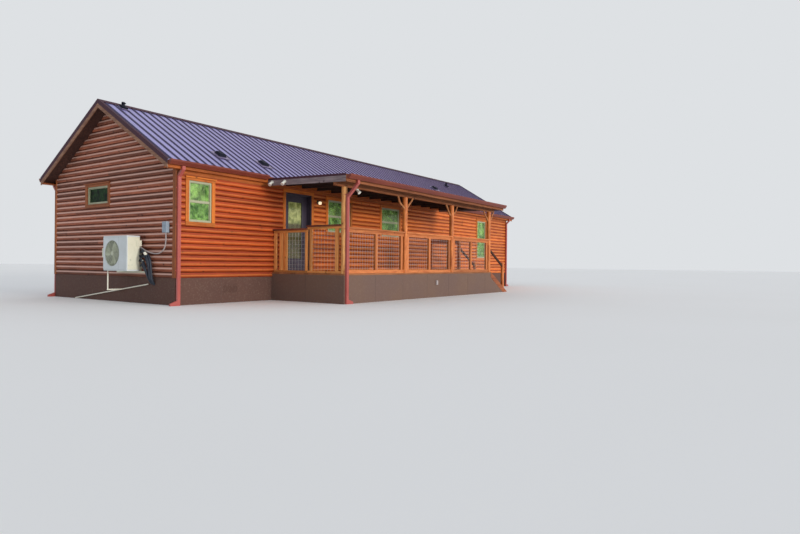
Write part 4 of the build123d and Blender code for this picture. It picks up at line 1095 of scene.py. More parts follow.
@dataclass
class Windows:
    """Vinyl windows: glass with beads round each pane, and blinds behind the upper sashes."""

    house: House
    bead: float = 0.011
    bead_out: float = 0.004
    glass_out: float = -0.008
    slat_pitch: float = 0.024
    slat_depth: float = 0.025
    slat_thickness: float = 0.0012
    slat_tilt: float = radians(62.0)
    behind: float = 0.06
    rail_half: float = 0.02
    rail_foot: float = 0.035
    first_slat: float = 0.05
    edge: float = 0.03
    open_edge: float = 0.11
    drop: float = 0.52

    def blind(self, shape: Shape, side: Side, window: Rim) -> None:
        """A head rail and tilted slats, drawn down over the upper sash."""
        left, right, foot, head = window
        reach = (left + self.edge, right - self.open_edge)
        side.board(shape, reach, (-self.behind - self.rail_half, -self.behind + self.rail_half),
                   (head - self.rail_foot, head - 0.002), 0.0)
        across, lift = sin(self.slat_tilt), cos(self.slat_tilt)
        for row in range(int((head - foot) * self.drop / self.slat_pitch)):
            z = head - self.first_slat - row * self.slat_pitch
            ends = side.place(np.array(reach), np.array(-self.behind), np.array(z))
            shape.plank(ends, side.out * lift - UP * across, side.out * across + UP * lift,
                        self.slat_depth / 2, self.slat_thickness / 2, float(row), 0.0003)

    def build(self) -> None:
        """Builds the panes, the four narrow beads that hold each, and the blinds."""
        sides = self.house.sides
        blinds, beads, panes, gable_panes = Shape(), Shape(), Shape(), Shape()
        for low, high in solid_boxes("window_glass"):
            name, pane = self.house.place(low, high)
            (gable_panes if name in ("near", "far") else panes).board(low, high, 0.0, 0.0005)
            for bead in border(pane, self.bead):
                sides[name].board(beads, bead[:2], (self.glass_out, self.glass_out + self.bead_out),
                                  bead[2:], 0.0, 0.001)
        for name in ("front", "back"):
            for window in self.house.windows[name]:
                self.blind(blinds, sides[name], window)
        blinds.build("window_blinds", "blind slats", "vinyl")
        beads.build("window_beads", "almond vinyl", "vinyl")
        panes.build("window_panes", "green window glass", "glass", "window_glass")
        gable_panes.build("gable_panes", "shaded gable glass", "glass")
        dress("almond vinyl", "window_frames")


@dataclass
class Door:
    """The entry door: a frame round its tall pane, two raised panels below, and its jambs."""

    frame: float = 0.032
    proud: float = 0.009
    lap: float = 0.004
    panel_gap: float = 0.07

    def build(self) -> None:
        """Builds the mouldings, which swing with the leaf."""
        leaf_low, leaf_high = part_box("door_leaf")
        low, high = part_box("door_glass")
        mouldings, edge, lap = Shape(), self.frame, self.lap
        for near, far in ((leaf_low.y - self.proud, low.y), (high.y, leaf_high.y + self.proud)):
            for x_low, x_high, z_low, z_high in (
                (low.x - edge, high.x + edge, high.z - lap, high.z + edge),
                (low.x - edge, high.x + edge, low.z - edge, low.z + lap),
                (low.x - edge, low.x + lap, low.z, high.z),
                (high.x - lap, high.x + edge, low.z, high.z),
            ):
                mouldings.board((x_low, near, z_low), (x_high, far, z_high), 0.0, 0.004)
        middle = (low.x + high.x) / 2
        foot, top = leaf_low.z + 0.07, low.z - self.frame - 0.05
        for x_low, x_high in ((low.x, middle - self.panel_gap / 2),
                              (middle + self.panel_gap / 2, high.x)):
            for y_low, y_high in ((leaf_low.y - 0.006, leaf_low.y + 0.001),
                                  (leaf_high.y - 0.001, leaf_high.y + 0.006)):
                mouldings.board((x_low, y_low, foot), (x_high, y_high, top), 0.0, 0.005)
        mouldings.build("door_mouldings", "purple-black door paint", "door_paint", body="door")
        dress("bright door glass", "door_glass")
        dress("purple-black door paint", "door_leaf", "door_jambs", "door_head_jamb", "door_stops")
        dress("bronze hardware", "door_threshold", "door_knobs", "hinge_frame_halves",
              "hinge_leaf_halves")


@dataclass
class Roof:
    """The steel roof's small parts: screws in rows, flashings, and the look of its sheets."""

    house: House
    rib_spacing: float = 0.229
    row_spacing: float = 0.61
    first_row: float = 0.08
    screw_radius: float = 0.007
    screw_height: float = 0.006
    flange: float = 0.07
    flange_thickness: float = 0.003
    collar: float = 0.012
    pipe_radius: float = 0.041

    def rib_plane(self, node: str, slope: float) -> float:
        """The height at y = 0 of the plane over the crests of a sheet's ribs."""
        mesh = FRAME["nodes"][node].data
        points = np.empty(len(mesh.vertices) * 3)
        mesh.vertices.foreach_get("co", points)
        points = points.reshape(-1, 3)
        return float((points[:, 2] - slope * points[:, 1]).max())

    def screws(self, shape: Shape, node: str, slope: float, rows: np.ndarray) -> None:
        """Hexagonal screw heads on their washers, on every rib of a sheet.

        Args:
            shape: The shape that they are added to.
            node: The sheet.
            slope: Its rise along Y.
            rows: The Y of each row.
        """
        head = Shape()
        wide, narrow, tall = self.screw_radius, 0.65 * self.screw_radius, self.screw_height
        head.lathe([(wide, 0.0), (wide, 0.3 * tall), (narrow, 0.35 * tall), (narrow, tall)],
                   (0.0, 0.0, 0.0), UP, 6)
        low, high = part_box(node)
        count = int((high.x - low.x) / self.rib_spacing / 2)
        across = (low.x + high.x) / 2 + self.rib_spacing * np.arange(-count, count + 1)
        x, y = [part.ravel() for part in np.meshgrid(across, rows)]
        places = np.stack([x, y, self.rib_plane(node, slope) + slope * y - 0.001], -1)
        angle = np.arctan(slope)
        turn = np.array([[1, 0, 0], [0, cos(angle), -sin(angle)], [0, sin(angle), cos(angle)]])
        shape.scatter(head, places, turn)

    def build(self) -> None:
        """Builds screws, flashings and collars, and dresses the sheets."""
        house, screws = self.house, Shape()
        run = cos(house.roof_angle)
        steps = np.arange(self.first_row, 3.1, self.row_spacing) * run
        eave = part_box("roof_sheet_front")[0].y
        self.screws(screws, "roof_sheet_front", house.slope, eave + steps)
        self.screws(screws, "roof_sheet_back", -house.slope, house.width - eave - steps)
        low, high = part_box("porch_roof_sheet")
        rows = np.linspace(low.y + self.first_row, high.y - self.first_row, 5)
        self.screws(screws, "porch_roof_sheet", PORCH_SLOPE, rows)
        screws.build("roof_screws", "roof screws", "hardware", bend=60.0)
        flashings, collars = Shape(), Shape()
        top = self.rib_plane("roof_sheet_front", house.slope)
        downhill = np.array([0.0, -run, -sin(house.roof_angle)])
        normal = np.array([0.0, -sin(house.roof_angle), run])
        for low, high in solid_boxes("roof_vents"):
            middle = (low + high) / 2
            pipe = high[0] - low[0] < 0.2
            wide = (high[0] - low[0]) / 2 + (0.02 if pipe else self.flange)
            foot = np.array([middle[0], middle[1], top + house.slope * middle[1]])
            foot += normal * self.flange_thickness / 2
            path = np.stack([foot - downhill * wide, foot + downhill * (wide + 0.03)])
            flashings.plank(path, np.array([1.0, 0.0, 0.0]), normal, wide,
                            self.flange_thickness / 2, 0.0, 0.001)
            if pipe:
                inner, outer = self.pipe_radius, self.pipe_radius + self.collar
                collars.lathe([(inner, 0.0), (outer, 0.004), (outer, 0.016), (inner, 0.022)],
                              (middle[0], middle[1], high[2] - 0.045), UP, 24)
        flashings.build("vent_flashings", "plum flashing", "roof_metal")
        collars.build("vent_collars", "black vent steel", "roof_metal")
        dress("plum roof steel", "roof_sheet_front", "roof_sheet_back")
        dress("plum porch roof steel", "porch_roof_sheet")
        dress("plum trim steel", "roof_trims")
        dress("black vent steel", "roof_vents")
        dress("dark soffit boards", "roof_deck_front", "roof_deck_back")


@dataclass
class Rainwater:
    """Gutters and downspouts: the pipes' flutes and the straps that hold them."""

    pipe_width: float = 0.076
    pipe_depth: float = 0.051
    flute: float = 0.007
    flute_out: float = 0.002
    flutes: int = 4
    strap: float = 0.028
    strap_ear: float = 0.022
    strap_heights: tuple[float, ...] = (0.75, 1.75, 2.55)
    shoe_top: float = 0.2
    pipe_top: float = 2.62

    def pipe(self, flutes: Shape, straps: Shape, x_low: float, wall_y: float, out: float) -> None:
        """Flutes down the front of a pipe and straps round it.

        Args:
            flutes: The shape for its flutes.
            straps: The shape for its straps.
            x_low: Its lower X.
            wall_y: The Y of its back.
            out: -1 where it faces the front, 1 where it faces the back.
        """
        face = wall_y + out * self.pipe_depth
        for number in range(self.flutes):
            x = x_low + (number + 0.5) * self.pipe_width / self.flutes
            ends = sorted((face - out * 0.001, face + out * self.flute_out))
            flutes.board((x - self.flute / 2, ends[0], self.shoe_top),
                         (x + self.flute / 2, ends[1], self.pipe_top), 0.0, 0.0015)
        for z in self.strap_heights:
            for ear, *depth in ((0.003, face + out * 0.004, wall_y + out * 0.002),
                                (self.strap_ear, wall_y + out * 0.0035, wall_y + out * 0.0005)):
                straps.board((x_low - ear, min(depth), z),
                             (x_low + self.pipe_width + ear, max(depth), z + self.strap), 0.0, 0.001)

    def build(self) -> None:
        """Builds the flutes and straps, and dresses gutters and pipes."""
        flutes, straps = Shape(), Shape()
        for low, high in solid_boxes("downspouts"):
            shoe_to_near = low[0] < -8.0
            x_low = high[0] - self.pipe_width if shoe_to_near else low[0]
            wall_y, out = (low[1], 1.0) if low[1] > 2.0 else (high[1], -1.0)
            self.pipe(flutes, straps, x_low, wall_y, out)
        flutes.build("downspout_flutes", "maroon downspout aluminium", "gutter_metal")
        straps.build("downspout_straps", "maroon downspout aluminium", "gutter_metal")
        dress("maroon gutter aluminium", "gutters")
        dress("maroon downspout aluminium", "downspouts")


@dataclass
class OutdoorUnit:
    """The wall-hung outdoor unit with its fan and grille, its lines, box and drain."""

    house: House
    corner: float = 0.016
    plate: float = 0.022
    fan_y: float = 1.72
    fan_z: float = 1.135
    opening: float = 0.292
    ring_step: float = 0.0202
    ring_wire: float = 0.003
    hub: float = 0.05
    spokes: int = 16
    blades: int = 3
    blade_pitch: float = radians(9.0)
    lid: float = 0.028
    skirt: float = 0.03
    fins: int = 44
    width_range: tuple[float, float] = (1.12, 2.08)

    def rounded(self, x_range: tuple[float, float], y_range: tuple[float, float]) -> np.ndarray:
        """A rectangle with rounded corners: four quarter circles, one at each corner."""
        quarter = np.linspace(0.0, pi / 2, 6)
        rows = []
        for number, (x, y) in enumerate(((1, 1), (0, 1), (0, 0), (1, 0))):
            centre = np.array([x_range[x] + (1 - 2 * x) * self.corner,
                               y_range[y] + (1 - 2 * y) * self.corner])
            turn = quarter + number * pi / 2
            rows.append(centre + self.corner * np.stack([np.cos(turn), np.sin(turn)], -1))
        return np.concatenate(rows)

    def prism(self, shape: Shape, outline: np.ndarray, z_range: tuple[float, float]) -> None:
        """An upright prism over an outline in X and Y."""
        rings = np.stack([np.column_stack([outline, np.full(len(outline), z)]) for z in z_range])
        shape.skin(rings, np.array(z_range), np.linspace(0.0, 1.0, len(outline) + 1))

    def around(self, x: np.ndarray, reach: np.ndarray, turn: np.ndarray) -> np.ndarray:
        """Points round the fan: its centre plus the reach times the turn's cosine and sine."""
        parts = (x, self.fan_y + reach * np.cos(turn), self.fan_z + reach * np.sin(turn))
        return np.stack(np.broadcast_arrays(*parts), -1)

    def front_plate(self, shape: Shape, x_range: tuple[float, float], y_range: tuple[float, float],
                    z_range: tuple[float, float]) -> None:
        """The front panel with its round opening.

        Each direction from the fan's centre has four points: the opening's rim and the panel's
        edge, on the front and on the back. The edge lies where the ray meets the rectangle.
        """
        corners = [np.arctan2(z - self.fan_z, y - self.fan_y) for y in y_range for z in z_range]
        turn = np.sort(np.concatenate([np.linspace(-pi, pi, 96, endpoint=False), corners]))
        c, s = np.cos(turn), np.sin(turn)
        reach_y = np.where(c > 0, y_range[1] - self.fan_y, self.fan_y - y_range[0])
        reach_z = np.where(s > 0, z_range[1] - self.fan_z, self.fan_z - z_range[0])
        edge = np.minimum(reach_y / np.maximum(abs(c), 1e-9), reach_z / np.maximum(abs(s), 1e-9))
        front, back = x_range
        rings = [self.around(x, size, turn) for x, size in (
            (front, self.opening), (front, edge), (back, edge), (back, self.opening))]
        shape.skin(np.stack(rings, 1), turn, np.linspace(0.0, 1.0, 5), loop=True)

    def grille(self, front: float) -> None:
        """Rings of wire round a hub, held by spokes."""
        shape = Shape()
        centre = (front + 0.004, self.fan_y, self.fan_z)
        for radius in np.arange(self.hub + self.ring_step, self.opening + 0.005, self.ring_step):
            shape.hoop(centre, (1, 0, 0), radius, self.ring_wire, 64)
        spoke = np.array([0.9 * self.hub, 1.01 * self.opening])
        for turn in np.linspace(0.0, 2 * pi, self.spokes, endpoint=False):
            shape.rod(self.around(front + 0.0075, spoke, turn), self.ring_wire)
        shape.lathe([(self.hub, 0.009), (self.hub, 0.004), (self.hub - 0.006, 0.0015), (0.02, 0.001)],
                    (front, self.fan_y, self.fan_z), (1, 0, 0), 40)
        shape.build("unit_grille", "unit grille plastic", "unit_paint")

    def fan(self, floor: float) -> None:
        """Three broad blades on a boss: each a thin plate, twisted a little from root to tip."""
        shape = Shape()
        reach = np.linspace(0.05, self.opening - 0.012, 12)
        for number in range(self.blades):
            lead = 2 * pi * number / self.blades + 0.5 * (reach / self.opening) ** 2
            half = 0.42 + 0.16 * reach / self.opening
            pitch = np.sin(self.blade_pitch) * np.minimum(reach, 0.07)
            rings = []
            for side, depth in ((-1, -1), (1, -1), (1, 1), (-1, 1)):
                x = floor - 0.0085 + side * pitch * 0.6 + depth * 0.0012
                rings.append(self.around(x, reach, lead + side * half))
            shape.skin(np.stack(rings, 1), reach, np.linspace(0.0, 1.0, 5))
        shape.lathe([(0.06, 0.0), (0.06, 0.008), (0.05, 0.012)], (floor, self.fan_y, self.fan_z),
                    (-1, 0, 0), 32)
        shape.build("unit_fan", "unit fan plastic", "unit_paint")

    def cabinet(self) -> None:
        """The cabinet: a body, its front panel, lid, base, service cover and coil fins."""
        low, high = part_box("air_unit")
        y_range = side, rear = self.width_range
        front = low.x + 0.0015
        inner = front + self.plate
        body, plate, well, dark, screws = Shape(), Shape(), Shape(), Shape(), Shape()
        foot, top = low.z + self.skirt, high.z - self.lid
        self.prism(body, self.rounded((inner - 0.004, high.x), y_range), (foot, top))
        self.front_plate(plate, (front, inner), y_range, (foot, top))
        lip = self.rounded((low.x, high.x), (side - 0.003, rear + 0.003))
        self.prism(plate, lip, (top + 0.002, high.z))
        self.prism(plate, self.rounded((low.x + 0.004, high.x), y_range), (low.z, foot - 0.003))
        well.lathe([(self.opening + 0.004, 0.0), (self.opening + 0.004, 0.002)],
                   (inner - 0.004, self.fan_y, self.fan_z), (-1, 0, 0), 64)
        seam = side + 0.33
        dark.board((front - 0.0005, seam, foot), (front + 0.002, seam + 0.0025, top), 0.0, 0.0003)
        body.board((-8.94, rear - 0.002, 1.05), (-8.84, rear + 0.07, 1.25), 0.0, 0.012)
        body.board((-8.75, side - 0.003, 0.83), (-8.646, side + 0.002, 1.46), 0.0, 0.002)
        body.board((-8.72, low.y, 1.30), (-8.60, side + 0.02, 1.43), 0.0, 0.006)
        for x in np.linspace(-8.9, -8.66, self.fins):
            dark.board((x, rear - 0.001, foot + 0.02), (x + 0.002, rear + 0.0015, top - 0.02),
                       0.0, 0.0003)
        for x, z in ((-8.92, 0.80), (-8.92, 1.48), (-8.80, 0.80), (-8.80, 1.48)):
            screws.lathe([(0.006, 0.0), (0.006, 0.002), (0.003, 0.003)], (x, side, z), (0, -1, 0), 10)
        for x, z, size in ((-8.86, 0.985, 0.017), (-8.90, 0.865, 0.012), (-8.82, 0.875, 0.012)):
            screws.lathe([(size, 0.0), (size, 0.004), (0.6 * size, 0.006)], (x, side, z),
                         (0, -1, 0), 20)
        # The body gets a warm cream as painted sunlight, the front plate a cool white as painted shade
        body.build("unit_body", "unit powder coat, painted_sunlit", "unit_paint", "air_unit")
        plate.build("unit_front", "unit powder coat", "unit_paint")
        well.build("unit_well", "unit well", "unit_paint")
        dark.build("unit_seams", "unit well", "unit_paint")
        screws.build("unit_fasteners", "unit grille plastic", "unit_paint")
        self.grille(front)
        self.fan(inner - 0.004)

    def tube(self, shape: Shape, radius: float, sides: int, seed: float,
             places: tuple[tuple[int, int, int], ...], across: Vec = (1.0, 0.15, 0.1)) -> np.ndarray:
        """A circle carried along a smooth curve.

        Args:
            shape: The shape that it is added to.
            radius: The circle's radius.
            sides: Its number of points.
            seed: Where its pattern starts.
            places: Points in millimetres: off the wall, along Y and up.
            across: A direction that the curve doesn't follow.

        Returns:
            Points of the curve.
        """
        route = smooth_path([(self.house.near - out / 1000, y / 1000, z / 1000)
                             for out, y, z in places], 8)
        shape.sweep(route, circle(radius, sides), across, seed)
        return route

    def lines(self) -> None:
        """Insulated tubes and a cable that leave the unit one by one and fall to the wall together."""
        wall, foam, white = self.house.near, Shape(), Shape()
        for radius, sides, seed, *places in (
            (0.029, 14, 5.0, (105, 1160, 1170), (110, 1040, 1175), (118, 880, 1140), (118, 775, 1030),
             (112, 740, 860), (100, 733, 680), (70, 737, 530), (20, 742, 455), (-12, 743, 445)),
            (0.026, 14, 6.0, (100, 1160, 1060), (105, 1040, 1075), (120, 925, 1040), (125, 840, 920),
             (115, 803, 760), (100, 793, 610), (60, 805, 490), (-12, 815, 450)),
            (0.022, 14, 7.0, (105, 1160, 960), (135, 1070, 985), (155, 970, 970), (160, 880, 860),
             (145, 835, 720), (115, 815, 580), (55, 795, 485), (-12, 785, 450)),
            (0.017, 14, 8.0, (110, 1150, 1260), (145, 1060, 1240), (165, 950, 1200), (168, 840, 1110),
             (160, 765, 960), (148, 745, 780), (125, 748, 600), (45, 750, 490), (-12, 748, 470)),
            (0.016, 14, 9.0, (105, 1160, 860), (140, 1080, 850), (170, 995, 890), (175, 930, 840),
             (160, 870, 740), (130, 830, 620), (90, 795, 520), (30, 765, 470)),
            (0.009, 14, 10.0, (105, 1150, 1020), (175, 1090, 960), (205, 1000, 1000), (200, 890, 1060),
             (180, 790, 1000), (165, 735, 850), (130, 725, 650), (60, 735, 500), (30, 738, 465)),
            (0.012, 12, 15.0, (110, 1150, 1100), (180, 1060, 1080), (215, 960, 1020), (205, 890, 900),
             (180, 850, 780), (140, 815, 640), (80, 790, 520), (20, 775, 470)),
        ):
            self.tube(foam, radius, sides, seed, places)
        fitting = np.array([[0.018, 0.0], [0.033, 0.008], [0.033, 0.05], [0.026, 0.075], [0.019, 0.08]])
        for out, y, z, size, fall in ((0.168, 0.885, 1.152, (1.0, 1.0), (0.0, -0.80, -0.60)),
                                      (0.118, 0.910, 1.152, (0.8, 0.7), (0.0, -0.90, -0.44)),
                                      (0.155, 0.985, 0.975, (0.75, 0.6), (0.0, -0.95, -0.30))):
            white.lathe(fitting * size, (wall - out, y, z), fall, 20)
        foam.build("line_tubes", "black pipe foam", "insulation", "refrigerant_lines")
        white.build("line_fittings", "white pipe plastic", "white_plastic")

    def fittings(self) -> None:
        """The electrical box with its lid and hasp, and the conduit down to the unit."""
        wall, box, conduit = self.house.near, Shape(), Shape()
        low, high = (wall - 0.113, 0.165, 1.59), (wall - 0.038, 0.315, 1.83)
        box.board(low, high, 0.0, 0.004)
        box.board((low[0] - 0.004, low[1] - 0.003, low[2] + 0.006),
                  (low[0] + 0.02, high[1] + 0.003, high[2] + 0.003), 0.0, 0.003)
        box.board((low[0] - 0.012, 0.225, 1.60), (low[0] - 0.003, 0.255, 1.625), 0.0, 0.001)
        route = self.tube(conduit, 0.0135, 14, 0.0, (
            (76, 235, 1602), (78, 230, 1400), (86, 275, 1240), (105, 400, 1150), (125, 540, 1132),
            (135, 700, 1152), (140, 850, 1190), (135, 1000, 1240), (120, 1130, 1285),
        ), (1.0, 0.0, 0.0))
        nut = [(0.022, 0.0), (0.022, 0.014), (0.017, 0.018), (0.017, 0.03)]
        conduit.lathe(nut, (wall - 0.076, 0.235, 1.591), (0, 0, -1), 8)
        conduit.lathe(nut, route[-1] + (0.0, 0.002, 0.002), route[-2] - route[-1], 8)
        box.build("breaker_box", "grey box steel", "box_grey", "disconnect_box")
        conduit.build("box_conduit", "grey conduit plastic", "box_grey")
        dress("white pipe plastic", "condensate_drains")
        # The bracket gets the unit's warm cream, painted sunlight
        dress("unit powder coat, painted_sunlit", "air_unit_bracket")

    def build(self) -> None:
        """Builds the unit and everything that belongs to it."""
        self.cabinet()
        self.lines()
        self.fittings()


@dataclass
class Lights:
    """A jar lamp beside the door, and the flood lights' dress."""

    plate_radius: float = 0.055
    jar_radius: float = 0.044
    cage: float = 0.0475
    wire: float = 0.0016

    def build(self) -> None:
        """Builds the lamp from its plate to its jar."""
        low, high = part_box("wall_lamp")
        x, plate_z = (low.x + high.x) / 2, high.z - self.plate_radius
        jar_y = low.y + 0.048
        iron, glass = Shape(), Shape()
        iron.lathe([(self.plate_radius, 0.0), (self.plate_radius, 0.006), (0.047, 0.012), (0.02, 0.016),
                    (0.016, 0.024)], (x, high.y, plate_z), (0, -1, 0), 40)
        arm = smooth_path([(x, high.y - 0.014, plate_z), (x, high.y - 0.040, plate_z + 0.016),
                           (x, jar_y + 0.012, high.z - 0.004), (x, jar_y, high.z - 0.012)])
        iron.sweep(arm, circle(0.0065, 12), (1.0, 0.0, 0.0))
        foot = (x, jar_y, low.z)
        iron.lathe([(0.047, 0.084), (0.048, 0.092), (0.040, 0.104), (0.018, 0.112), (0.010, 0.121)],
                   foot, UP, 32)
        glass.lathe([(0.010, 0.002), (0.034, 0.004), (0.042, 0.012), (self.jar_radius, 0.03),
                     (self.jar_radius, 0.062), (0.038, 0.078), (0.034, 0.088)], foot, UP, 32)
        for turn in np.linspace(0.0, 2 * pi, 6, endpoint=False):
            c, s = cos(turn), sin(turn)
            cage = smooth_path([(x + reach * c, jar_y + reach * s, low.z + z) for reach, z in (
                (0.046, 0.086), (self.cage, 0.045), (0.045, 0.012), (0.012, 0.0015))], 6)
            iron.sweep(cage, circle(self.wire, 6), (0.3, 0.2, 0.93) if abs(c) > 0.5 else (0.9, 0.3, 0.1))
        iron.hoop((x, jar_y, low.z + 0.05), UP, self.cage, self.wire, 32)
        iron.build("lamp_iron", "black lamp iron", "lamp_metal", "wall_lamp")
        glass.build("lamp_jar", "warm lamp glass", "glass")
        dress("white lamp metal", "flood_lights")


@dataclass
class Skirting:
    """Joints in the foundation's and the porch's cladding, an outlet cover and a vent."""

    house: House
    joint: float = 0.007
    spacing: float = 1.22
    proud: float = 0.0015
    outlet: Vec = (-1.52, 0.36, 0.09)
    vent_x: float = -7.2
    vent_size: tuple[float, float] = (0.40, 0.20)
    vent_foot: float = 0.24
    louvres: int = 6

    def build(self) -> None:
        """Builds upright joints at even spacing, cover and vent, and dresses the faces."""
        house = self.house
        joints, metal, cover = Shape(), Shape(), Shape()
        front_out = -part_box("foundation_long_walls")[0].y
        near_out = house.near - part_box("foundation_gable_walls")[0].x
        porch_low, porch_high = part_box("porch_skirts")
        along, up = house.sides["front"].along, house.sides["near"].along
        front, near = Side(porch_low.y * up, along, -up), Side(porch_low.x * along, up, -along)
        for side, start, stop, out, top in (
            (house.sides["front"], house.near, -5.8, front_out, house.foot),
            (house.sides["front"], 2.2, house.far, front_out, house.foot),
            (house.sides["back"], house.near, house.far, front_out, house.foot),
            (house.sides["near"], 0.0, house.width, near_out, house.foot),
            (house.sides["far"], 0.0, house.width, near_out, house.foot),
            (front, porch_low.x, porch_high.x, 0.0, porch_high.z),
            (near, porch_low.y, -0.1, 0.0, porch_high.z),
        ):
            for place in np.arange(start + self.spacing, stop - 0.3, self.spacing):
                side.board(joints, (place, place + self.joint), (out - 0.001, out + self.proud),
                           (0.02, top - 0.01), 0.0, 0.0005)
        joints.build("skirting_joints", "joint sealant", "skirting")
        x, z, size = self.outlet
        front.board(cover, (x - size / 2, x + size / 2), (0.0, 0.028), (z, z + 1.4 * size), 0.0, 0.006)
        front.board(cover, (x - size / 2 + 0.006, x + size / 2 - 0.006), (0.028, 0.036),
                    (z + 0.008, z + 1.4 * size - 0.008), 0.0, 0.003)
        cover.build("outlet_cover", "grey conduit plastic", "box_grey")
        wide, tall = self.vent_size
        side = house.sides["front"]
        rim = (self.vent_x, self.vent_x + wide, self.vent_foot, self.vent_foot + tall)
        for board in border(rim, 0.02):
            side.board(metal, board[:2], (front_out, front_out + 0.008), board[2:], 0.0, 0.002)
        for number in range(self.louvres):
            z = self.vent_foot + 0.035 + number * (tall - 0.06) / self.louvres
            ends = side.place(np.array([self.vent_x + 0.02, self.vent_x + wide - 0.02]),
                              np.array(front_out + 0.004), np.array(z))
            metal.plank(ends, side.out * 0.5 - UP * 0.866, side.out * 0.866 + UP * 0.5, 0.009, 0.0008,
                        0.0, 0.0002)
        metal.build("foundation_vent", "foundation paint", "skirting")
        dress("foundation paint", "foundation_long_walls", "foundation_gable_walls")
        dress("skirting paint", "porch_skirts", "stair_sides")


class Studio:
    """A plain pale floor, soft light and the camera."""

    place: Vec = (-16.36, -11.32, 0.954)
    heading: float = radians(34.49)
    roll: float = radians(0.56)
    focal_pixels: float = 593.8
    image_width: float = 800.0
    horizon_rise: float = 3.0
    sensor: float = 36.0
    floor_reach: float = 150.0

    def world(self) -> None:
        """A pale surround: full strength for what sees it, softer as a light."""
        world = bpy.data.worlds.new("studio")
        bpy.context.scene.world = world
        graph = Graph("studio", world)
        rays = graph.add("LightPath", ()).node.outputs
        seen = rays["Is Camera Ray"]
        for kind in ("Is Glossy Ray", "Is Transmission Ray"):
            seen = graph.add("Math", (seen, rays[kind]), operation="MAXIMUM")
        light = graph.add("Background", (linear("#EAF0FA"), 0.72))
        surround = graph.add("Background", (linear("#DEE1E4"), 1.0))
        graph.add("OutputWorld", (graph.add("MixShader", (seen, light, surround)),))

    def lamps(self) -> None:
        """Two broad soft suns from the front, one of them warm; the near gable stays in shade."""
        for name, energy, width, turn, rise, colour in (
            ("warm_sun", 0.45, 35.0, 18.0, 20.0, (1.0, 0.94, 0.86)),
            ("fill_sun", 1.75, 12.0, -2.0, 6.0, (1.0, 0.96, 0.91)),
        ):
            light = bpy.data.lights.new(name, "SUN")
            light.energy, light.angle, light.color = energy, radians(width), colour
            link(name, light).matrix_world = (Matrix.Rotation(radians(turn), 4, "Z")
                                              @ Matrix.Rotation(radians(90.0 - rise), 4, "X"))

    def floor(self) -> None:
        """A pale floor under the cabin."""
        reach = self.floor_reach
        mesh = bpy.data.meshes.new("floor")
        mesh.from_pydata([(-reach, -reach, 0), (reach, -reach, 0), (reach, reach, 0), (-reach, reach, 0)],
                         [], [(0, 1, 2, 3)])
        graph = Graph("pale floor")
        cloud = graph.add("TexNoise", {"Vector": graph.place, "Scale": 0.2})
        colour = graph.add("Mix", {0: cloud, 6: linear("#F3F2EE"), 7: linear("#F7F6F3")}, 2,
                           data_type="RGBA")
        mesh.materials.append(graph.finish({"Base Color": colour, "Roughness": 0.9}))
        link("floor", mesh)

    def camera(self) -> None:
        """A camera at the photograph's place, level but for a slight roll."""
        data = bpy.data.cameras.new("view")
        data.sensor_width = self.sensor
        data.lens = self.focal_pixels / self.image_width * self.sensor
        data.shift_y = -self.horizon_rise / self.image_width
        data.clip_end = 4 * self.floor_reach
        camera = link("view", data)
        ahead = np.array([cos(self.heading), sin(self.heading), 0.0])
        right = np.array([sin(self.heading), -cos(self.heading), 0.0])
        matrix = Matrix.Identity(4)
        for row in range(3):
            matrix[row][0], matrix[row][1] = right[row], UP[row]
            matrix[row][2], matrix[row][3] = -ahead[row], self.place[row]
        camera.matrix_world = matrix @ Matrix.Rotation(self.roll, 4, "Z")
        bpy.context.scene.camera = camera

    def build(self) -> None:
        """Sets the stage."""
        bpy.context.scene.view_settings.view_transform = "Standard"
        self.world()
        self.lamps()
        self.floor()
        self.camera()


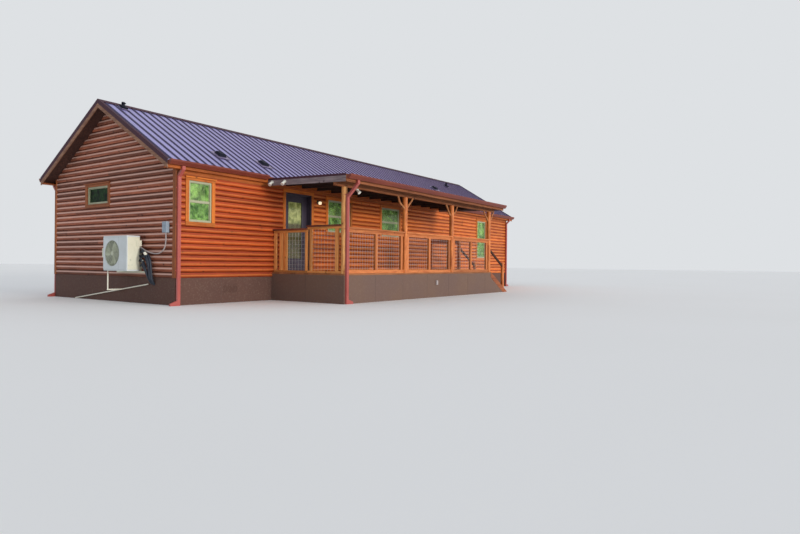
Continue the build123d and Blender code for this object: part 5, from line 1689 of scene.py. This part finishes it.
@dataclass
class Porch:
    """The porch's log posts, branches, deck boards, railings with wire mesh, and its stair."""

    house: House
    board: float = 0.137
    gap: float = 0.0053
    thin: float = 0.038
    wide: float = 0.089
    cap_width: float = 0.14
    cap_top: float = 1.82
    wire: float = 0.0025
    mesh_pitch: float = 0.1016
    last_gap: float = 0.065
    near_low_top: float = 1.81
    near_high_top: float = 1.875
    near_break: float = -1.20
    end_rail: float = 0.055
    end_depth: float = 0.042
    newel: float = 0.06
    handrail_height: float = 0.84
    stair_going: float = 0.33
    brace_reach: float = 0.33
    brace_drop: float = 0.28
    stringer_height: float = 0.19
    stringer_proud: float = 0.004
    knot_height: float = 0.006
    knot_reach: float = 0.018
    crack_depth: float = 0.003
    crack_turn: float = 0.09
    mesh_least: float = 0.3
    mesh_lap: float = 0.01
    newel_top: float = 1.04
    butt: float = 0.003
    fascia_thickness: float = 0.025
    fascia_height: float = 0.17
    drip_half: float = 0.026

    def log(self, shape: Shape, path: np.ndarray, radius: Reach, across: Vec, seed: int,
            knots: int = 6, swell: float = 0.05, sides: int = 36) -> None:
        """A peeled log or branch along a path.

        Its radius is the given one less slow waves round and along it, plus a low hump at each
        knot, and less a narrow drying crack on one side.

        Args:
            shape: The shape that it is added to.
            path: Points, n × 3.
            radius: The largest radius, one for all points or one for each.
            across: A direction that the path doesn't follow.
            seed: Sets its waves, knots and crack.
            knots: How many knots stand out.
            swell: How deep the waves are, as a share of the radius.
            sides: Points round it.
        """
        draw = np.random.default_rng(seed)
        turn = np.linspace(0.0, 2 * pi, sides, endpoint=False)[None, :]
        along = np.linalg.norm(path - path[0], axis=1)[:, None]
        radius = np.broadcast_to(radius, len(path))[:, None]
        waves = np.zeros((len(path), sides))
        for count in (1, 2, 3, 5):
            phase, pace = draw.uniform(0, 2 * pi), draw.uniform(2.0, 6.0)
            waves += np.cos(count * turn + phase + 0.7 * np.sin(pace * along + phase)) / count
        size = radius * (1.0 - swell * (0.5 - 0.25 * waves))
        for _ in range(knots):
            at, angle = draw.uniform(0, along.max()), draw.uniform(0, 2 * pi)
            off = np.angle(np.exp(1j * (turn - angle))) * radius.mean()
            size += self.knot_height * np.exp(-(off ** 2 + (along - at) ** 2)
                                              / (2 * self.knot_reach ** 2))
        drift = draw.uniform(0, 2 * pi) + 0.5 * np.sin(1.1 * along + seed)
        off = np.angle(np.exp(1j * (turn - drift)))
        size = np.minimum(size - self.crack_depth * np.exp(-(off / self.crack_turn) ** 2), radius)
        shape.sweep(path, np.stack([size * np.cos(turn), size * np.sin(turn)], -1), across, float(seed))

    def posts(self) -> None:
        """Four log posts from the deck to the beam, and the stair's log newels."""
        pale, stained = Shape(), Shape()
        for number, (low, high) in enumerate(solid_boxes("porch_posts")):
            path = upright(*(low + high)[:2] / 2, low[2], high[2], 110)
            self.log(stained if number else pale, path, (high[0] - low[0]) / 2, (1.0, 0.0, 0.0),
                     21 + number, knots=14)
        stained.build("log_posts", "stained pine logs", "porch_wood", "porch_posts")
        pale.build("near_log_post", "peeled pine logs", "porch_wood")

    def braces(self) -> None:
        """A pair of natural branches at each post but the first, up to the beam."""
        shape, seed, part = Shape(), 60, np.linspace(0.0, 1.0, 24)
        for low, high in solid_boxes("porch_posts")[1:]:
            middle, top = (low + high) / 2, high[2]
            for lean in (-1, 1):
                seed += 1
                run = 0.04 + (self.brace_reach - 0.01) * part
                lift = top - self.brace_drop - 0.03 + (self.brace_drop + 0.045) * part
                sag = 0.022 * np.sin(pi * part) * (1.0 if seed % 2 else 0.6)
                sway = 0.012 * np.sin(2 * pi * part + seed)
                path = np.stack([middle[0] + lean * (run + sag), middle[1] + sway, lift - sag], -1)
                self.log(shape, path, np.linspace(0.034, 0.027, 24), (0.0, 1.0, 0.0), seed,
                         knots=3, swell=0.12, sides=20)
        shape.build("branch_braces", "peeled branches", "porch_wood", "post_braces")

    def deck(self) -> None:
        """Deck boards along the porch, with joints that step from row to row."""
        shape = Shape()
        low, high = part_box("porch_deck")
        rows = round((high.y - low.y + self.gap) / (self.board + self.gap))
        pitch = (high.y - low.y + self.gap) / rows
        for row in range(rows):
            y = low.y + row * pitch
            joint = low.x + (high.x - low.x) * (0.5 if row % 2 else 0.38)
            for number, (start, stop) in enumerate(((low.x, joint), (joint + self.butt, high.x))):
                shape.board((start, y, low.z), (stop, y + pitch - self.gap, high.z),
                            200 + 2 * row + number)
        shape.build("deck_planks", "deck boards", "porch_wood", "porch_deck")

    def lattice(self, shape: Shape, along_x: bool, line: float, rim: Rim) -> None:
        """A panel of welded wire between two uprights: level and upright wires that cross."""
        low, high, foot, top = rim
        behind = line + 2 * self.wire
        wires = [((place, line, foot), (place, line, top))
                 for place in np.arange(low + self.mesh_pitch / 2, high, self.mesh_pitch)]
        wires += [((low, behind, z), (high, behind, z))
                  for z in np.arange(foot + self.mesh_pitch / 2, top, self.mesh_pitch)]
        for ends in np.array(wires):
            shape.rod(ends if along_x else ends[:, [1, 0, 2]], self.wire)

    def panel(self, lumber: Shape, caps: Shape, wires: Shape, along_x: bool, line: float,
              reach: tuple[float, float], cap_top: float, uprights: list[tuple[float, float]],
              seed: int, rail: float = 0.089, depth: float = 0.064) -> None:
        """One railing: a cap, a top and a bottom rail, uprights, and mesh in each opening.

        Args:
            lumber: The shape that its rails and uprights go to.
            caps: The shape that its cap goes to.
            wires: The shape that its mesh goes to.
            along_x: True where it runs along X.
            line: The line that it stands on.
            reach: Where it starts and stops.
            cap_top: The height of its cap.
            uprights: Each upright's start and stop.
            seed: The number of its first board.
            rail: The height of its top and bottom rails.
            depth: How thick its uprights are across the panel.
        """
        deck, rail_top = self.house.deck, cap_top - self.thin
        foot, top = deck + rail, rail_top - rail
        ordered = sorted(uprights)
        bars = [(caps, *reach, self.cap_width, rail_top, cap_top),
                (lumber, *reach, self.thin, top, rail_top), (lumber, *reach, self.thin, deck, foot)]
        bars += [(lumber, *ends, depth, foot, top) for ends in ordered]
        for number, (shape, start, stop, width, low, high) in enumerate(bars):
            corners = np.array([(start, line - width / 2, low), (stop, line + width / 2, high)])
            shape.board(*(corners if along_x else corners[:, [1, 0, 2]]), seed + number)
        for (_, start), (stop, _) in zip(ordered, ordered[1:]):
            if stop - start > self.mesh_least:
                self.lattice(wires, along_x, line - self.wire,
                             grown((start, stop, foot, top), self.mesh_lap))

    def railings(self) -> None:
        """The railings between the posts, at the near end and beside the stair."""
        lumber, pale, caps, dark_caps, wires = Shape(), Shape(), Shape(), Shape(), Shape()
        newels, handrails = Shape(), Shape()
        posts = solid_boxes("porch_posts")
        radius = (posts[0][1][0] - posts[0][0][0]) / 2
        line = (posts[0][0][1] + posts[0][1][1]) / 2
        siding = -LogSiding.crest
        centres = [(low[0] + high[0]) / 2 for low, high in posts]
        seed = 500
        for start, end in zip(centres, centres[1:]):
            first, last = start + radius, end - radius - self.last_gap - self.wide
            middle = (first + last) / 2
            uprights = [(place, place + self.wide) for place in (first, middle, last)]
            self.panel(lumber, caps, wires, True, line, (start + radius / 2, end - radius / 2),
                       self.cap_top, uprights, seed)
            seed += 20
        self.panel(pale, dark_caps, wires, False, centres[0], (self.near_break, siding),
                   self.near_low_top, [(-0.125, -0.038), (-0.325, -0.235), (-0.500, -0.430),
                                       (-1.195, -1.125)], seed, self.end_rail, self.end_depth)
        self.panel(pale, dark_caps, wires, False, centres[0], (line + radius / 2, self.near_break),
                   self.near_high_top, [(-1.340, -1.270), (-2.190, -2.090)], seed + 20,
                   self.end_rail, self.end_depth)
        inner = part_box("stair_sides")[1].y - self.thin - self.newel
        self.panel(lumber, caps, wires, False, centres[-1], (inner, siding), self.cap_top,
                   [(siding - self.wide, siding), (inner - 0.01, inner + self.newel)], seed + 40)
        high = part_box("stair_railings")[1]
        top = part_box("porch_railings")[1].z - 0.005
        self.log(newels, upright(centres[-1], inner, self.house.deck, top, 50), self.newel,
                 (1.0, 0.0, 0.0), 91, knots=5)
        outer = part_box("stair_sides")[0].y + self.thin + self.newel
        ends = np.array([centres[-1], high.x - self.newel])
        height = self.house.deck - ((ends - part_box("porch_deck")[1].x) * (self.house.deck / 4)
                                    / self.stair_going)
        height += self.handrail_height - self.wide / 2
        for number, y in enumerate((outer, inner)):
            self.log(newels, upright(ends[1], y, 0.0, self.newel_top, 40), self.newel, (1.0, 0.0, 0.0),
                     95 + number, knots=4)
            handrails.plank(np.stack([ends, np.full(2, y), height], -1), UP, np.array([0.0, 1.0, 0.0]),
                            self.wide / 2, self.thin / 2, 700 + number)
        lumber.build("rail_lumber", "stained pine lumber", "porch_wood", "porch_railings")
        # The near end's railing: lumber painted paler to offset its shade, caps painted darker as shade
        pale.build("end_rail_lumber", "pale pine lumber", "porch_wood")
        caps.build("rail_caps", "stained pine lumber", "porch_wood")
        dark_caps.build("rail_caps_shaded", "dark rail caps", "porch_wood")
        # Handrails painted near black as shade
        handrails.build("handrails", "dark handrails", "porch_wood")
        wires.build("rail_mesh", "galvanised wire", "hardware")
        newels.build("stair_newels", "stained pine logs", "porch_wood", "stair_railings")

    def treads(self) -> None:
        """Two boards to a tread."""
        shape = Shape()
        for number, (low, high) in enumerate(solid_boxes("stair_treads")):
            middle = (low[0] + high[0]) / 2
            shape.board(low, (middle - self.butt, high[1], high[2]), 800 + 2 * number)
            shape.board((middle + self.butt, low[1], low[2]), high, 801 + 2 * number)
        shape.build("tread_boards", "deck boards", "porch_wood", "stair_treads")

    def stringers(self) -> None:
        """Sloping side boards: a four-cornered outline carried across the board's thickness."""
        shape = Shape()
        top = self.house.deck
        for number, (low, high) in enumerate(solid_boxes("stair_stringers")):
            reach, fall = high[0] - low[0], top - self.stringer_height
            outline = np.array([[low[0], top], [high[0], 0.0], [low[0] + reach * fall / top, 0.0],
                                [low[0], fall]])
            outer = (self.stringer_proud, 0.0) if number == 0 else (0.0, self.stringer_proud)
            rings = np.stack([np.column_stack([outline[:, 0], np.full(4, y), outline[:, 1]])
                              for y in (low[1] - outer[0], high[1] + outer[1])])
            shape.skin(rings, np.array([0.0, self.thin]), travel(outline, closed=True))
        shape.build("stringer_boards", "stringer boards along X", "porch_wood", "stair_stringers")

    def roof_edges(self) -> None:
        """Boards round the porch roof, with a folded drip edge over its two ends."""
        low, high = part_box("porch_fascias")
        thick, tall = self.fascia_thickness, self.fascia_height
        ends, front, drips = Shape(), Shape(), Shape()
        front.board((low.x, low.y, low.z), (high.x, low.y + thick, low.z + tall), 901)
        for number, x in enumerate((low.x + thick / 2, high.x - thick / 2)):
            y = np.array([low.y + thick, high.y])
            path = np.stack([np.full(2, x), y, low.z + tall / 2 + (y - low.y) * PORCH_SLOPE + 0.001], -1)
            ends.plank(path, UP, np.array([1.0, 0.0, 0.0]), tall / 2, thick / 2, 905 + number)
            out = -1.0 if number == 0 else 1.0
            path = path + np.array([out * (thick / 2 + 0.001), 0.0, tall / 2 - 0.008])
            drips.plank(path, UP, np.array([1.0, 0.0, 0.0]), self.drip_half, 0.0015, 0.0, 0.0005)
        front.build("porch_front_fascia", "dark beam along X", "fascia_wood", "porch_fascias")
        ends.build("porch_end_fascias", "porch fascia boards", "fascia_wood")
        drips.build("porch_drip_edges", "plum trim steel", "roof_metal")
        dress("dark beam along X", "porch_beam")
        dress("dark rafters", "porch_roof_frame")

    def build(self) -> None:
        """Builds every piece of the porch."""
        self.posts()
        self.braces()
        self.deck()
        self.railings()
        self.treads()
        self.stringers()
        self.roof_edges()


def main() -> None:
    """Builds the cabin's looks, sub-assembly by sub-assembly."""
    logging.basicConfig(level=logging.INFO, format="%(name)s: %(message)s")
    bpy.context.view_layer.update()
    house = House()
    dress("framing pine along X", "floor_platform", "wall_front_near", "wall_front_far",
          "wall_front_over_door", "wall_back", "wall_gables")
    LogSiding(house).build()
    Trim(house).build()
    Windows(house).build()
    Door().build()
    Roof(house).build()
    Rainwater().build()
    Porch(house).build()
    Skirting(house).build()
    OutdoorUnit(house).build()
    Lights().build()
    Studio().build()


if __name__ == "__main__":
    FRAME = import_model()
    FINISHES = finishes()
    main()
